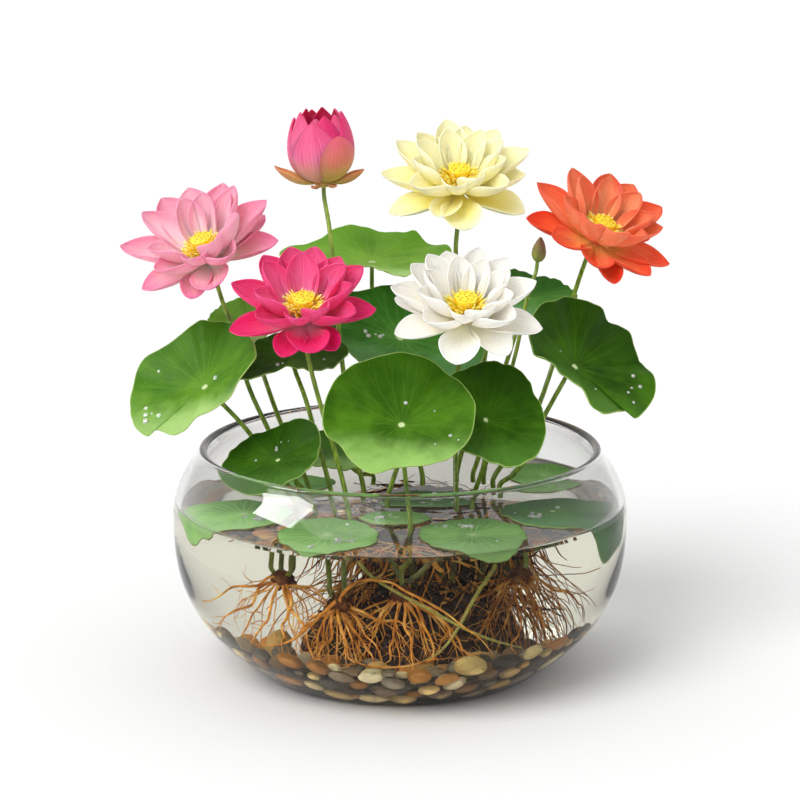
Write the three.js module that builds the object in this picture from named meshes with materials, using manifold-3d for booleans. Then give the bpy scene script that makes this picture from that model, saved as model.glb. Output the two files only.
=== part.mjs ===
// A lotus growing in a round glass pond bowl: pebbles, soil and a mat of roots under water, four root
// crowns, leaves that float or stand on stalks, five open flowers and two buds.
// Millimetres, +Z up. The origin is the middle of the bowl's foot, and the front of the plant faces -Y.

import * as THREE from 'three';
import { mergeVertices } from 'three/addons/utils/BufferGeometryUtils.js';
import Module from 'manifold-3d';

const wasm = await Module();
wasm.setup();

// ---- Driving dimensions ----

const TAU = Math.PI * 2;
const UP = new THREE.Vector3(0, 0, 1);
const GAP = 0.3; // between neighbouring pieces
const POCKET_GAP = 0.45; // around what stands in the water

// Bowl
const BOWL_HEIGHT = 150;
const BOWL_FOOT_RADIUS = 89;
const BOWL_WIDEST_RADIUS = 149;
const BOWL_WIDEST_AT = 105;
const BOWL_BELLY_POWER = 2.8;
const BOWL_WALL = 4.5;
const BOWL_FLOOR = 7;
const RIM_RADIUS = 129; // to the middle of the lip
const RIM_DROP = 18; // how far the shoulder draws in from the widest place
const LIP_RADIUS = 2.8;
const BOWL_SIDES = 32;
const INNER_HEIGHTS = [13, 29, 47, 78, 113];

// Filling
const WATER_LEVEL = 113;
const BED_INSET = 1.6; // from the glass to the pebbles
const BED_FLAT_RADIUS = 100;
const BED_FLAT_TOP = 30;
const BED_BANK_RADIUS = 111;
const BED_BANK_TOP = 36;
const BED_SIDES = 24;
const WALL_MARK = 1000; // stands for the radius at the glass until the bed is bent to it
const CUTTER_RADIUS = 160;
const SOIL_CENTRE = [15, 0];
const SOIL_FOOT_RADIUS = 64;
const SOIL_TOP_RADIUS = 47;
const SOIL_TOP = 66;
const SOIL_TILT = 0.13;
const MAT_CENTRE = [18, 0];
const MAT_RADIUS = 52.5;
const MAT_TOP = 113.6;
const MAT_TAPER = 0.3; // how much narrower the mat is at its foot

// Plant
const STEM_RADIUS = 1.7;
const STEM_STEPS = 6;
const FINE_STEM_RADIUS = 1.5;
const LEAF_THICKNESS = 1.4;
const BLADE_SIDES = 12; // of a floating leaf
const FLOAT_THICKNESS = 1.2;
const PETAL_THICKNESS = 1.5;
const PETAL_FOOT = 5; // from the middle of the flower
const PETAL_ROOT = 1.5; // of its length, lost in the hub
const PETAL_REACH = 0.96; // on the petals' lengths, less so behind
const PETAL_REACH_BEHIND = 0.05;
const PETAL_FULLNESS = 1.15; // on the petals' widths
const PETAL_CURL = 0.73;
const HUB_RADIUS = 10;
const HUB_RIM = 5;
const HUB_THICKNESS = 3;
const SEED_HEAD_TOP = 15.5; // above the middle of the hub
const SEED_HEAD_RADIUS = 7.2;

// ---- Materials ----

function finish(color, roughness, metalness = 0) {
  return new THREE.MeshStandardMaterial({ color, roughness, metalness });
}

const clearGlass = new THREE.MeshStandardMaterial({ color: 0xdfe8e4, roughness: 0.03, transparent: true, opacity: 0.3 });
const clearWater = new THREE.MeshStandardMaterial({ color: 0xd9dcc0, roughness: 0.02, transparent: true, opacity: 0.35 });
const riverPebble = finish(0x9a7c58, 0.5);
const wetSoil = finish(0x3a2a25, 0.8);
const rootBrown = finish(0x6b3d1e, 0.8);
const leafGreen = finish(0x4f8f2e, 0.5);
const stemGreen = finish(0x6f8a2c, 0.5);
const seedYellow = finish(0xf2c81c, 0.6);
const budGreen = finish(0x7c7b3a, 0.5);

// ---- Meshes and solids ----

// Joins the vertices that lie in one place and drops the triangles that have no area.
function weld(geometry) {
  const bare = geometry.clone();
  bare.deleteAttribute('normal');
  bare.deleteAttribute('uv');
  const merged = mergeVertices(bare, 1e-4);
  const corners = merged.index.array;
  const kept = [];
  for (let i = 0; i < corners.length; i += 3) {
    const [a, b, c] = [corners[i], corners[i + 1], corners[i + 2]];
    if (a !== b && b !== c && c !== a) {
      kept.push(a, b, c);
    }
  }
  merged.setIndex(kept);
  return merged;
}

function toSolid(geometry) {
  const merged = weld(geometry);
  return new wasm.Manifold(new wasm.Mesh({
    numProp: 3,
    vertProperties: new Float32Array(merged.attributes.position.array),
    triVerts: new Uint32Array(merged.index.array),
  }));
}

function toGeometry(solid) {
  const mesh = solid.getMesh();
  const geometry = new THREE.BufferGeometry();
  geometry.setAttribute('position', new THREE.BufferAttribute(mesh.vertProperties, 3));
  geometry.setIndex(new THREE.BufferAttribute(mesh.triVerts, 1));
  return geometry;
}

function joined(geometries) {
  return geometries.map(toSolid).reduce((sum, solid) => sum.add(solid));
}

// Moves every vertex by a function that changes the vector it is given.
function bend(geometry, move) {
  const places = geometry.attributes.position;
  const point = new THREE.Vector3();
  for (let i = 0; i < places.count; i += 1) {
    point.fromBufferAttribute(places, i);
    move(point);
    places.setXYZ(i, point.x, point.y, point.z);
  }
  return geometry;
}

// A profile of [radius, height] pairs turned about Z.
function turned(profile, sides) {
  const points = profile.map(([radius, height]) => new THREE.Vector2(radius, height));
  return new THREE.LatheGeometry(points, sides).rotateX(Math.PI / 2);
}

// ---- Bowl ----

function bowlRadius(z) {
  if (z <= BOWL_WIDEST_AT) {
    const drop = (BOWL_WIDEST_AT - z) / BOWL_WIDEST_AT;
    return BOWL_FOOT_RADIUS + (BOWL_WIDEST_RADIUS - BOWL_FOOT_RADIUS) * (1 - drop ** BOWL_BELLY_POWER);
  }
  const rise = (z - BOWL_WIDEST_AT) / (BOWL_HEIGHT - LIP_RADIUS - BOWL_WIDEST_AT);
  return BOWL_WIDEST_RADIUS - RIM_DROP * rise ** 2;
}

function bowlSlope(z) {
  return (bowlRadius(z + 0.1) - bowlRadius(z - 0.1)) / 0.2;
}

function innerRadius(z) {
  return bowlRadius(z) - BOWL_WALL * Math.hypot(1, bowlSlope(z));
}

function bowlGeometry() {
  const outerHeights = [7, 27, 52, 80, 105, 130];
  const lipMiddle = BOWL_HEIGHT - LIP_RADIUS;
  const lipTurns = [15, 90, 175];
  const lip = lipTurns.map((turn) => {
    const angle = THREE.MathUtils.degToRad(turn);
    return [RIM_RADIUS + LIP_RADIUS * Math.cos(angle), lipMiddle + LIP_RADIUS * Math.sin(angle)];
  });
  const profile = [
    [0, 0],
    [BOWL_FOOT_RADIUS, 0],
    ...outerHeights.map((z) => [bowlRadius(z), z]),
    ...lip,
    ...[...INNER_HEIGHTS].reverse().map((z) => [innerRadius(z), z]),
    [innerRadius(BOWL_FLOOR), BOWL_FLOOR],
    [0, BOWL_FLOOR],
  ];
  return weld(turned(profile, BOWL_SIDES));
}

// ---- Pebble bed, soil and root mat ----

// The bed banks up against the glass at the front and the sides, and falls away at the back.
function bankHeight(angle) {
  const front = 38 + 9 * Math.cos(angle) ** 2;
  const behind = Math.max(0, Math.sin(angle));
  return front - 14 * behind ** 2;
}

function pebbleLump(x, y) {
  return 1.3 * Math.sin(0.29 * x + 0.8) * Math.sin(0.33 * y - 0.4);
}

// With grow, the top is that much higher and the bed runs out past the glass: the cutter for the water.
function bedGeometry(grow) {
  const wallRadius = (angle) => innerRadius(bankHeight(angle)) - BED_INSET;
  const foot = BOWL_FLOOR + GAP;
  const belt = 24;
  const sides = grow ? [[CUTTER_RADIUS, foot], [CUTTER_RADIUS, belt]] : [
    [innerRadius(foot) - BED_INSET, foot],
    [innerRadius(belt) - BED_INSET, belt],
  ];
  const profile = [
    [0, foot],
    ...sides,
    ...(grow ? [[CUTTER_RADIUS, BED_BANK_TOP]] : []),
    [WALL_MARK, BED_BANK_TOP],
    [BED_BANK_RADIUS, BED_BANK_TOP],
    [BED_FLAT_RADIUS, BED_FLAT_TOP],
    [0, BED_FLAT_TOP],
  ];
  const bed = turned(profile, BED_SIDES);
  bend(bed, (p) => {
    const radius = Math.hypot(p.x, p.y);
    const angle = Math.atan2(p.y, p.x);
    if (radius > WALL_MARK - 1) {
      const ratio = wallRadius(angle) / radius;
      p.set(p.x * ratio, p.y * ratio, bankHeight(angle) + grow);
    } else if (radius > CUTTER_RADIUS - 1 && p.z > belt + 1) {
      p.z = bankHeight(angle) + grow;
    } else if (p.z > belt + 1) {
      const onBank = radius > BED_FLAT_RADIUS + 1;
      const rise = Math.min(0, bankHeight(angle) - 2 - BED_BANK_TOP);
      p.z += grow + (onBank ? pebbleLump(p.x, p.y) + rise : 0);
    }
  });
  return weld(bed);
}

function soilTop(x) {
  return SOIL_TOP + SOIL_TILT * (x - SOIL_CENTRE[0]);
}

function soilGeometry(grow) {
  const foot = BED_FLAT_TOP + GAP;
  const footRadius = SOIL_FOOT_RADIUS + grow * 2;
  const topRadius = SOIL_TOP_RADIUS + grow * 2;
  const profile = [
    [0, foot - grow],
    [footRadius, foot - grow],
    [footRadius - 4, foot + 14],
    [topRadius + 2, SOIL_TOP - 5],
    [topRadius - 5, SOIL_TOP],
    [0, SOIL_TOP],
  ];
  const soil = turned(profile, 16);
  bend(soil, (p) => {
    p.x += SOIL_CENTRE[0];
    p.y += SOIL_CENTRE[1];
    if (p.z > SOIL_TOP - 6) {
      p.z += soilTop(p.x) - SOIL_TOP + grow;
    }
  });
  return weld(soil);
}

function matGeometry(grow) {
  const mat = new THREE.CylinderGeometry(1, 1, 1, 16, 2).rotateX(Math.PI / 2);
  bend(mat, (p) => {
    const angle = Math.atan2(p.y, p.x);
    const reach = Math.hypot(p.x, p.y);
    const waist = 1 - MAT_TAPER * (0.5 - p.z) ** 0.8;
    const lumps = 1 + 0.03 * Math.sin(5 * angle + 1) + 0.02 * Math.sin(3 * angle + p.z * 2);
    const radius = reach * (MAT_RADIUS * waist * lumps + grow * 1.5);
    p.x = MAT_CENTRE[0] + radius * Math.cos(angle);
    p.y = MAT_CENTRE[1] + radius * Math.sin(angle);
    const foot = soilTop(p.x) + GAP;
    const middle = p.z * 2;
    p.z = foot + (p.z + 0.5) * (MAT_TOP - foot) + grow * 2 * middle;
  });
  return weld(mat);
}

// ---- Stems and roots ----

function vectors(points) {
  return points.map(([x, y, z]) => new THREE.Vector3(x, y, z));
}

// A round stalk of one thickness along a smooth curve.
function stalkGeometry(points, radius, steps) {
  const sides = 5;
  const corners = [];
  for (let i = 0; i < sides; i += 1) {
    const angle = (i / sides) * TAU;
    corners.push(new THREE.Vector2(radius * Math.cos(angle), radius * Math.sin(angle)));
  }
  const path = new THREE.CatmullRomCurve3(vectors(points), false, 'centripetal');
  const options = { steps, bevelEnabled: false, extrudePath: path };
  return weld(new THREE.ExtrudeGeometry(new THREE.Shape(corners), options));
}

// A root that thins from one radius to another along a curve.
function rootGeometry(points, thick, thin) {
  const steps = 2;
  const path = new THREE.CatmullRomCurve3(vectors(points), false, 'centripetal');
  const frames = path.computeFrenetFrames(steps, false);
  const root = new THREE.CylinderGeometry(1, 1, 1, 4, steps);
  bend(root, (p) => {
    const step = Math.round((0.5 - p.y) * steps);
    const radius = thick + (thin - thick) * (step / steps);
    const middle = path.getPointAt(step / steps);
    const side = frames.normals[step].clone().multiplyScalar(p.x * radius);
    const other = frames.binormals[step].clone().multiplyScalar(p.z * radius);
    p.copy(middle).add(side).add(other);
  });
  return weld(root);
}

// Each crown has a knuckle that its stalks stand on, and roots that fan out from under it.
const crowns = [
  {
    name: 'left_root_crown',
    at: [-63, -48, 77],
    roots: [
      [[-82, -58, 66], [-102, -63, 57], [-114, -60, 50]],
      [[-74, -66, 60], [-84, -79, 49], [-90, -84, 42]],
      [[-64, -68, 60], [-67, -84, 50], [-70, -92, 41]],
      [[-56, -68, 62], [-51, -84, 50], [-47, -92, 42]],
    ],
  },
  {
    name: 'left_middle_root_crown',
    at: [-33, -65, 68],
    roots: [
      [[-40, -80, 54], [-46, -92, 46], [-52, -98, 40]],
      [[-32, -82, 54], [-30, -94, 46], [-28, -102, 40]],
      [[-24, -78, 54], [-17, -88, 46], [-13, -95, 40]],
      [[-22, -78, 85], [4, -86, 80], [36, -95, 64], [54, -99, 46]],
    ],
  },
  {
    name: 'centre_root_crown',
    at: [2, -69, 75],
    roots: [
      [[-4, -84, 60], [-6, -97, 50], [-8, -106, 41]],
      [[4, -86, 60], [6, -98, 50], [7, -106, 41]],
      [[14, -86, 62], [19, -99, 50], [22, -106, 42]],
      [[22, -80, 62], [36, -90, 50], [46, -97, 42]],
    ],
  },
  {
    name: 'right_root_crown',
    at: [66, -58, 83],
    roots: [
      [[50, -66, 78], [33, -72, 60], [20, -84, 46], [2, -90, 39]],
      [[67, -76, 66], [70, -88, 54], [70, -94, 44]],
      [[78, -72, 66], [86, -80, 55], [90, -86, 46]],
      [[86, -60, 74], [102, -60, 64], [108, -58, 52]],
    ],
  },
];

const KNUCKLE_RADIUS = 10;
const KNUCKLE_HEIGHT = 11;

function crownGeometry(crown, grow) {
  const [x, y, z] = crown.at;
  const height = KNUCKLE_HEIGHT + grow * 2;
  const knuckle = new THREE.CylinderGeometry(KNUCKLE_RADIUS + grow, KNUCKLE_RADIUS - 2 + grow, height, 8);
  knuckle.rotateX(Math.PI / 2).translate(x, y, z);
  const roots = crown.roots.map((points) => rootGeometry([crown.at, ...points], 2.4 + grow, 0.8 + grow));
  return toGeometry(joined([knuckle, ...roots]));
}

// The height at which a stalk stands on a crown's knuckle.
function knuckleTop(crown) {
  return crown.at[2] + KNUCKLE_HEIGHT / 2 + GAP;
}

// ---- Leaves ----

// A round blade, dished and waved at its rim, and slightly lobed. Radii are along its own right and back.
const BLADE_PROFILE = [
  [0, -0.5],
  [0.55, -0.5],
  [1, -0.3],
  [1, 0.3],
  [0.55, 0.5],
  [0, 0.5],
];

function padGeometry(leaf, thickness) {
  const blade = turned(BLADE_PROFILE, BLADE_SIDES);
  const [right, back] = leaf.radii;
  bend(blade, (p) => {
    const angle = Math.atan2(p.y, p.x);
    const reach = Math.hypot(p.x, p.y);
    const lobe = 1 + 0.025 * Math.sin(3 * angle + leaf.phase) + 0.02 * Math.sin(5 * angle - leaf.phase);
    const wave = FLOAT_WAVE * (reach ** 2 + reach ** 3 * Math.sin(5 * angle + leaf.phase));
    p.x *= right * lobe;
    p.y *= back * lobe;
    p.z = p.z * thickness + wave;
  });
  return weld(blade);
}

// The rim of a standing leaf is given as it is seen from this eye, with the lift above the leaf's own plane.
const SIGHT_PITCH = THREE.MathUtils.degToRad(12.7);
const SIGHT = new THREE.Vector3(0, Math.cos(SIGHT_PITCH), -Math.sin(SIGHT_PITCH));
const SIGHT_UP = new THREE.Vector3(0, Math.sin(SIGHT_PITCH), Math.cos(SIGHT_PITCH));
const EYE = new THREE.Vector3(0, 0, 179.7).addScaledVector(SIGHT, -1698.6);
const SIGHT_UNITS = 2600; // across or up, in the distance of the leaf from the eye

function rimPoints(leaf) {
  const normal = facingOf(leaf);
  const distance = new THREE.Vector3(...leaf.at).sub(EYE).dot(SIGHT);
  const toLeaf = new THREE.Quaternion().setFromUnitVectors(normal, UP);
  return leaf.rim.map(([across, up, lift]) => {
    const point = new THREE.Vector3(across, 0, 0).addScaledVector(SIGHT_UP, up).multiplyScalar(distance / SIGHT_UNITS);
    point.addScaledVector(SIGHT, (lift - point.dot(normal)) / SIGHT.dot(normal));
    return point.applyQuaternion(toLeaf);
  });
}

// A standing leaf's blade, with its stalk under the middle and its rim at the given points.
function bladeGeometry(leaf, thickness) {
  const rim = rimPoints(leaf);
  const blade = turned(BLADE_PROFILE, rim.length);
  bend(blade, (p) => {
    const reach = Math.hypot(p.x, p.y);
    const step = Math.round((Math.atan2(p.y, p.x) / TAU + 0.25) * rim.length);
    const edge = rim[(2 * rim.length - step) % rim.length];
    p.set(edge.x * reach, edge.y * reach, p.z * thickness + edge.z * reach ** 1.6);
  });
  return weld(blade);
}

// Leaves that stand above the water. Facing is the way that the upper side looks.
const standingLeaves = [
  {
    name: 'left_leaf', at: [-125, -30, 195], facing: [-0.5, -0.53, 0.69],
    rim: [
      [51, 25, 10], [37, 7, 8], [26, -12, 7], [12, -22, 5], [-5, -29, 4], [-17, -43, 6], [-32, -47, 5],
      [-50, -43, -1], [-58, -49, 1], [-70, -41, 5], [-77, -27, 4], [-79, -14, -1], [-75, 10, 7], [-67, 27, 9],
      [-50, 39, 9], [-34, 48, 7], [-23, 58, 9], [-10, 67, 7], [4, 67, 4], [18, 66, 0], [31, 62, 4], [46, 50, 8],
      [52, 39, 9],
    ],
    stem: [[-113, -20, 180], [-97, -15, 160], [-67, -19, 114]], root: 'left_root_crown', foot: [-69, -46],
  },
  {
    name: 'back_left_leaf', at: [-104, 54, 222], facing: [-0.12, -0.38, 0.92],
    rim: [
      [32, 3, 4], [27, -13, 5], [10, -22, 4], [-10, -22, 3], [-28, -14, 4], [-37, -1, 3], [-33, 8, 5],
      [-23, 17, 3], [-7, 23, 4], [6, 19, 1], [21, 15, 4],
    ],
    stem: [[-94, 30, 200], [-80, 4, 168], [-56, -19, 114]], root: 'left_root_crown', foot: [-57, -45],
  },
  {
    name: 'shaded_leaf', at: [-69, -6, 213], facing: [0.06, -0.36, 0.93],
    rim: [
      [55, 2, 3], [49, -9, 5], [37, -17, 5], [21, -19, 4], [6, -17, 2], [-5, -15, -1], [-19, -21, 2],
      [-36, -26, 3], [-51, -28, 2], [-54, -13, 2], [-46, 2, 2], [-32, 14, 3], [-9, 20, 2], [16, 20, 3],
      [41, 14, 2],
    ],
    stem: [[-61, -20, 185], [-54, -24, 160], [-42, -32, 114]], root: 'left_middle_root_crown', foot: [-38, -61],
  },
  {
    name: 'top_leaf', at: [-19, 90, 256], facing: [0.02, -0.26, 0.966],
    rim: [
      [80, 9, 7], [72, -3, 7], [57, -11, 8], [40, -15, 8], [29, -17, 8], [17, -14, 8], [4, -8, 9], [-9, -7, 9],
      [-26, -9, 9], [-47, -10, 8], [-76, -5, 5], [-93, 6, 2], [-85, 16, 3], [-67, 18, 2], [-51, 27, 3],
      [-34, 37, 7], [-16, 40, 8], [2, 34, 3], [28, 32, 6], [44, 32, 7], [58, 19, 2], [75, 17, 5],
    ],
    stem: [[-18, 80, 225], [-6, 62, 180], [10, 34, 140]], foot: [15, 25],
  },
  {
    name: 'middle_leaf', at: [0, 36, 214], facing: [0.03, -0.42, 0.9],
    rim: [
      [83, 6, 5], [84, -14, 4], [76, -29, 6], [55, -40, 6], [25, -45, 7], [-5, -43, 7], [-32, -32, 5],
      [-47, -18, 2], [-60, -8, 3], [-73, 2, 5], [-88, 16, 7], [-92, 32, 8], [-78, 43, 6], [-57, 47, 4],
      [-40, 49, 6], [-20, 53, 8], [-2, 57, 6], [18, 57, 5], [42, 52, 6], [66, 33, 6],
    ],
    stem: [[7, 22, 185], [2, -6, 150], [-6, -26, 128]], foot: [-8, -28],
  },
  {
    name: 'front_leaf', at: [1, -85, 183], facing: [0.03, -0.62, 0.78],
    rim: [
      [74, 16, 7], [69, -10, 8], [56, -26, 7], [40, -35, 6], [20, -40, 5], [-2, -41, 3], [-23, -47, 7],
      [-37, -44, 6], [-52, -33, 4], [-60, -21, 0], [-75, -10, 5], [-79, 9, 7], [-73, 34, 8], [-61, 52, 9],
      [-42, 63, 10], [-21, 70, 10], [0, 73, 9], [18, 70, 9], [34, 62, 6], [46, 52, 1], [61, 41, 5], [71, 28, 7],
    ],
    stem: [[3, -74, 150], [6.5, -82, 115], [4, -74, 94]], root: 'centre_root_crown', foot: [1, -68],
  },
  {
    name: 'right_front_leaf', at: [54, -58, 180], facing: [0.1, -0.6, 0.79],
    rim: [
      [60, -5, 3], [59, -16, 5], [51, -33, 7], [38, -42, 7], [24, -46, 6], [7, -43, 5], [-7, -36, 4],
      [-23, -31, 4], [-36, -19, 5], [-42, 1, 5], [-41, 25, 6], [-34, 45, 6], [-18, 51, 3], [-6, 57, 6],
      [8, 59, 8], [22, 56, 9], [35, 50, 9], [45, 39, 8], [49, 27, 4], [56, 15, 6],
    ],
    stem: [[54, -46, 150], [48, -38, 128]], foot: [46, -34],
  },
  {
    name: 'right_leaf', at: [113, -10, 204], facing: [0.5, -0.47, 0.72],
    rim: [
      [83, -8, 8], [81, -31, 7], [62, -51, 5], [55, -45, 0], [46, -44, 2], [27, -47, 6], [17, -41, 4],
      [5, -22, 4], [-9, -12, 4], [-20, -2, 5], [-32, 8, 6], [-42, 12, 6], [-46, 24, 7], [-45, 44, 6],
      [-33, 63, 5], [-17, 68, 6], [-5, 72, 3], [17, 68, 8], [30, 62, 8], [40, 47, 3], [54, 41, 8], [63, 29, 9],
      [68, 10, 5], [73, 2, 2],
    ],
    stem: [[106, -6, 193], [92, -2, 165], [76, 3, 130]], foot: [66, 4],
  },
  {
    name: 'back_right_leaf', at: [86, 62, 236], facing: [0.15, -0.35, 0.92],
    rim: [
      [50, 2, 3], [40, -12, 4], [17, -22, 4], [-8, -24, 4], [-23, -12, 4], [-27, 8, 4], [-22, 25, 4],
      [-11, 30, 5], [6, 24, 1], [20, 22, 4], [32, 19, 3], [43, 11, 1],
    ],
    stem: [[78, 52, 215], [64, 44, 170], [52, 36, 130]], foot: [49, 33],
  },
];

function facingOf(part) {
  return new THREE.Vector3(...part.facing).normalize();
}

function turnTo(mesh, part) {
  mesh.position.set(...part.at);
  mesh.quaternion.setFromUnitVectors(UP, facingOf(part));
}

// The last two points of a stalk: it meets the underside square on.
function stalkTop(part, below, run) {
  const facing = facingOf(part);
  return [run, below].map((distance) => new THREE.Vector3(...part.at).addScaledVector(facing, -distance).toArray());
}

function crownNamed(name) {
  return crowns.find((crown) => crown.name === name);
}

// Where a stalk starts: upright on its crown, or on the root mat.
function stalkFoot(part) {
  const base = part.root ? knuckleTop(crownNamed(part.root)) : MAT_TOP + GAP;
  const [x, y] = part.foot;
  return [[x, y, base], [x, y, base + 6]];
}

function stalkPoints(part, below) {
  return [...stalkFoot(part), ...[...part.stem].reverse(), ...stalkTop(part, below, below + 8)];
}

// Low leaves just above the water, in one piece with their stalks.
const lowLeaves = [
  {
    name: 'low_left_leaf', at: [-78, -46, 151], facing: [-0.42, -0.55, 0.72],
    rim: [
      [42, 7, 4], [36, -4, 5], [29, -11, 5], [13, -21, 5], [-1, -28, 5], [-15, -34, 5], [-28, -34, 5],
      [-43, -29, 4], [-53, -21, 3], [-58, -9, 1], [-52, 3, 2], [-44, 12, 4], [-31, 22, 6], [-15, 28, 6],
      [1, 34, 7], [11, 39, 7], [22, 41, 6], [33, 39, 5], [40, 32, 3], [43, 20, 1],
    ],
    stem: [[-62, -34, 128], [-54, -35, 114]],
    root: 'left_root_crown', foot: [-59, -53],
  },
  {
    name: 'low_back_leaf', at: [-36, 40, 137], facing: [0, -0.2, 0.98],
    rim: [
      [56, 2, 3], [48, -9, 4], [28, -16, 3], [4, -19, 4], [-20, -17, 3], [-44, -11, 4], [-56, -1, 2],
      [-49, 10, 4], [-26, 17, 2], [3, 19, 4], [30, 15, 2], [50, 9, 4],
    ],
    stem: [[-28, 34, 122]], foot: [-18, 26],
  },
];

function lowLeafGeometry(leaf) {
  const holder = new THREE.Object3D();
  turnTo(holder, leaf);
  holder.updateMatrix();
  const blade = bladeGeometry(leaf, LEAF_THICKNESS).applyMatrix4(holder.matrix);
  const stalk = stalkGeometry(stalkPoints(leaf, 0), FINE_STEM_RADIUS, STEM_STEPS);
  return toGeometry(joined([blade, stalk]));
}

// Leaves that lie on the water, and two that lie on the roots that break its surface. One still has its stalk.
const floatingLeaves = [
  { name: 'floating_leaf_left', at: [-100, -43], radii: [31, 35], phase: 0.4 },
  { name: 'floating_leaf_front_left', at: [-45, -92], radii: [31, 38], phase: 2.1 },
  { name: 'floating_leaf_centre', at: [-3, -53], radii: [22, 19], phase: 3.2, onMat: true },
  { name: 'floating_leaf_front_right', at: [45, -93], radii: [33, 38], phase: 5.2 },
  { name: 'floating_leaf_right', at: [98, -37], radii: [34, 35], phase: 1.2, root: 'right_root_crown', foot: [69, -57] },
  { name: 'floating_leaf_back_right', at: [98, 58], radii: [24, 32], phase: 2.8 },
  { name: 'floating_leaf_middle', at: [18, -4], radii: [31, 16], phase: 4, onMat: true },
  { name: 'floating_leaf_back_left', at: [-76, 34], radii: [32, 25], phase: 5.8 },
];
const FLOAT_WAVE = 0.25;

function floatingLeafGeometry(leaf) {
  const bottom = (leaf.onMat ? MAT_TOP : WATER_LEVEL) + GAP;
  const blade = padGeometry(leaf, FLOAT_THICKNESS).translate(...leaf.at, bottom + FLOAT_THICKNESS / 2);
  return leaf.root ? toGeometry(joined([blade, sunkStalk(leaf, FINE_STEM_RADIUS)])) : blade;
}

function sunkStalk(leaf, radius) {
  const [x, y] = leaf.at;
  const [footX, footY] = leaf.foot;
  const base = knuckleTop(crownNamed(leaf.root));
  const points = [[footX, footY, base], [footX, footY, base + 4], [x - 8, y - 6, 108], [x, y, WATER_LEVEL + GAP + 0.5]];
  return stalkGeometry(points, radius, 4);
}

// ---- Flowers ----

// A petal: a ball drawn out into a pointed, dished blade that starts at the hub and curls up as it reaches out.
function petalGeometry([azimuth, elevation, length, width]) {
  const petal = new THREE.SphereGeometry(1, 4, 3);
  const rise = THREE.MathUtils.degToRad(elevation);
  const behind = Math.max(0, Math.sin(THREE.MathUtils.degToRad(azimuth)));
  const long = length * (PETAL_REACH - PETAL_REACH_BEHIND * behind) - PETAL_ROOT;
  const wide = width * PETAL_FULLNESS;
  bend(petal, (p) => {
    const along = ((p.y + 1) / 2) ** 0.85;
    const spread = Math.hypot(p.x, p.z);
    const fullness = Math.sin(Math.PI * along ** 1.3) ** 0.8;
    const across = spread < 1e-6 ? 0 : (p.x / spread) * fullness;
    const side = (across * wide) / 2;
    const skin = spread < 1e-6 ? 0 : (p.z / spread) * (PETAL_THICKNESS / 2);
    const tilt = rise + PETAL_CURL * (along / 2 - 0.5);
    const outward = PETAL_FOOT + long * along * Math.cos(tilt);
    const upward = long * along * Math.sin(tilt) + 0.2 * wide * across ** 2;
    p.set(-side, -outward + skin * Math.sin(rise), upward + skin * Math.cos(rise));
  });
  return petal.rotateZ(THREE.MathUtils.degToRad(azimuth + 90));
}

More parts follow.
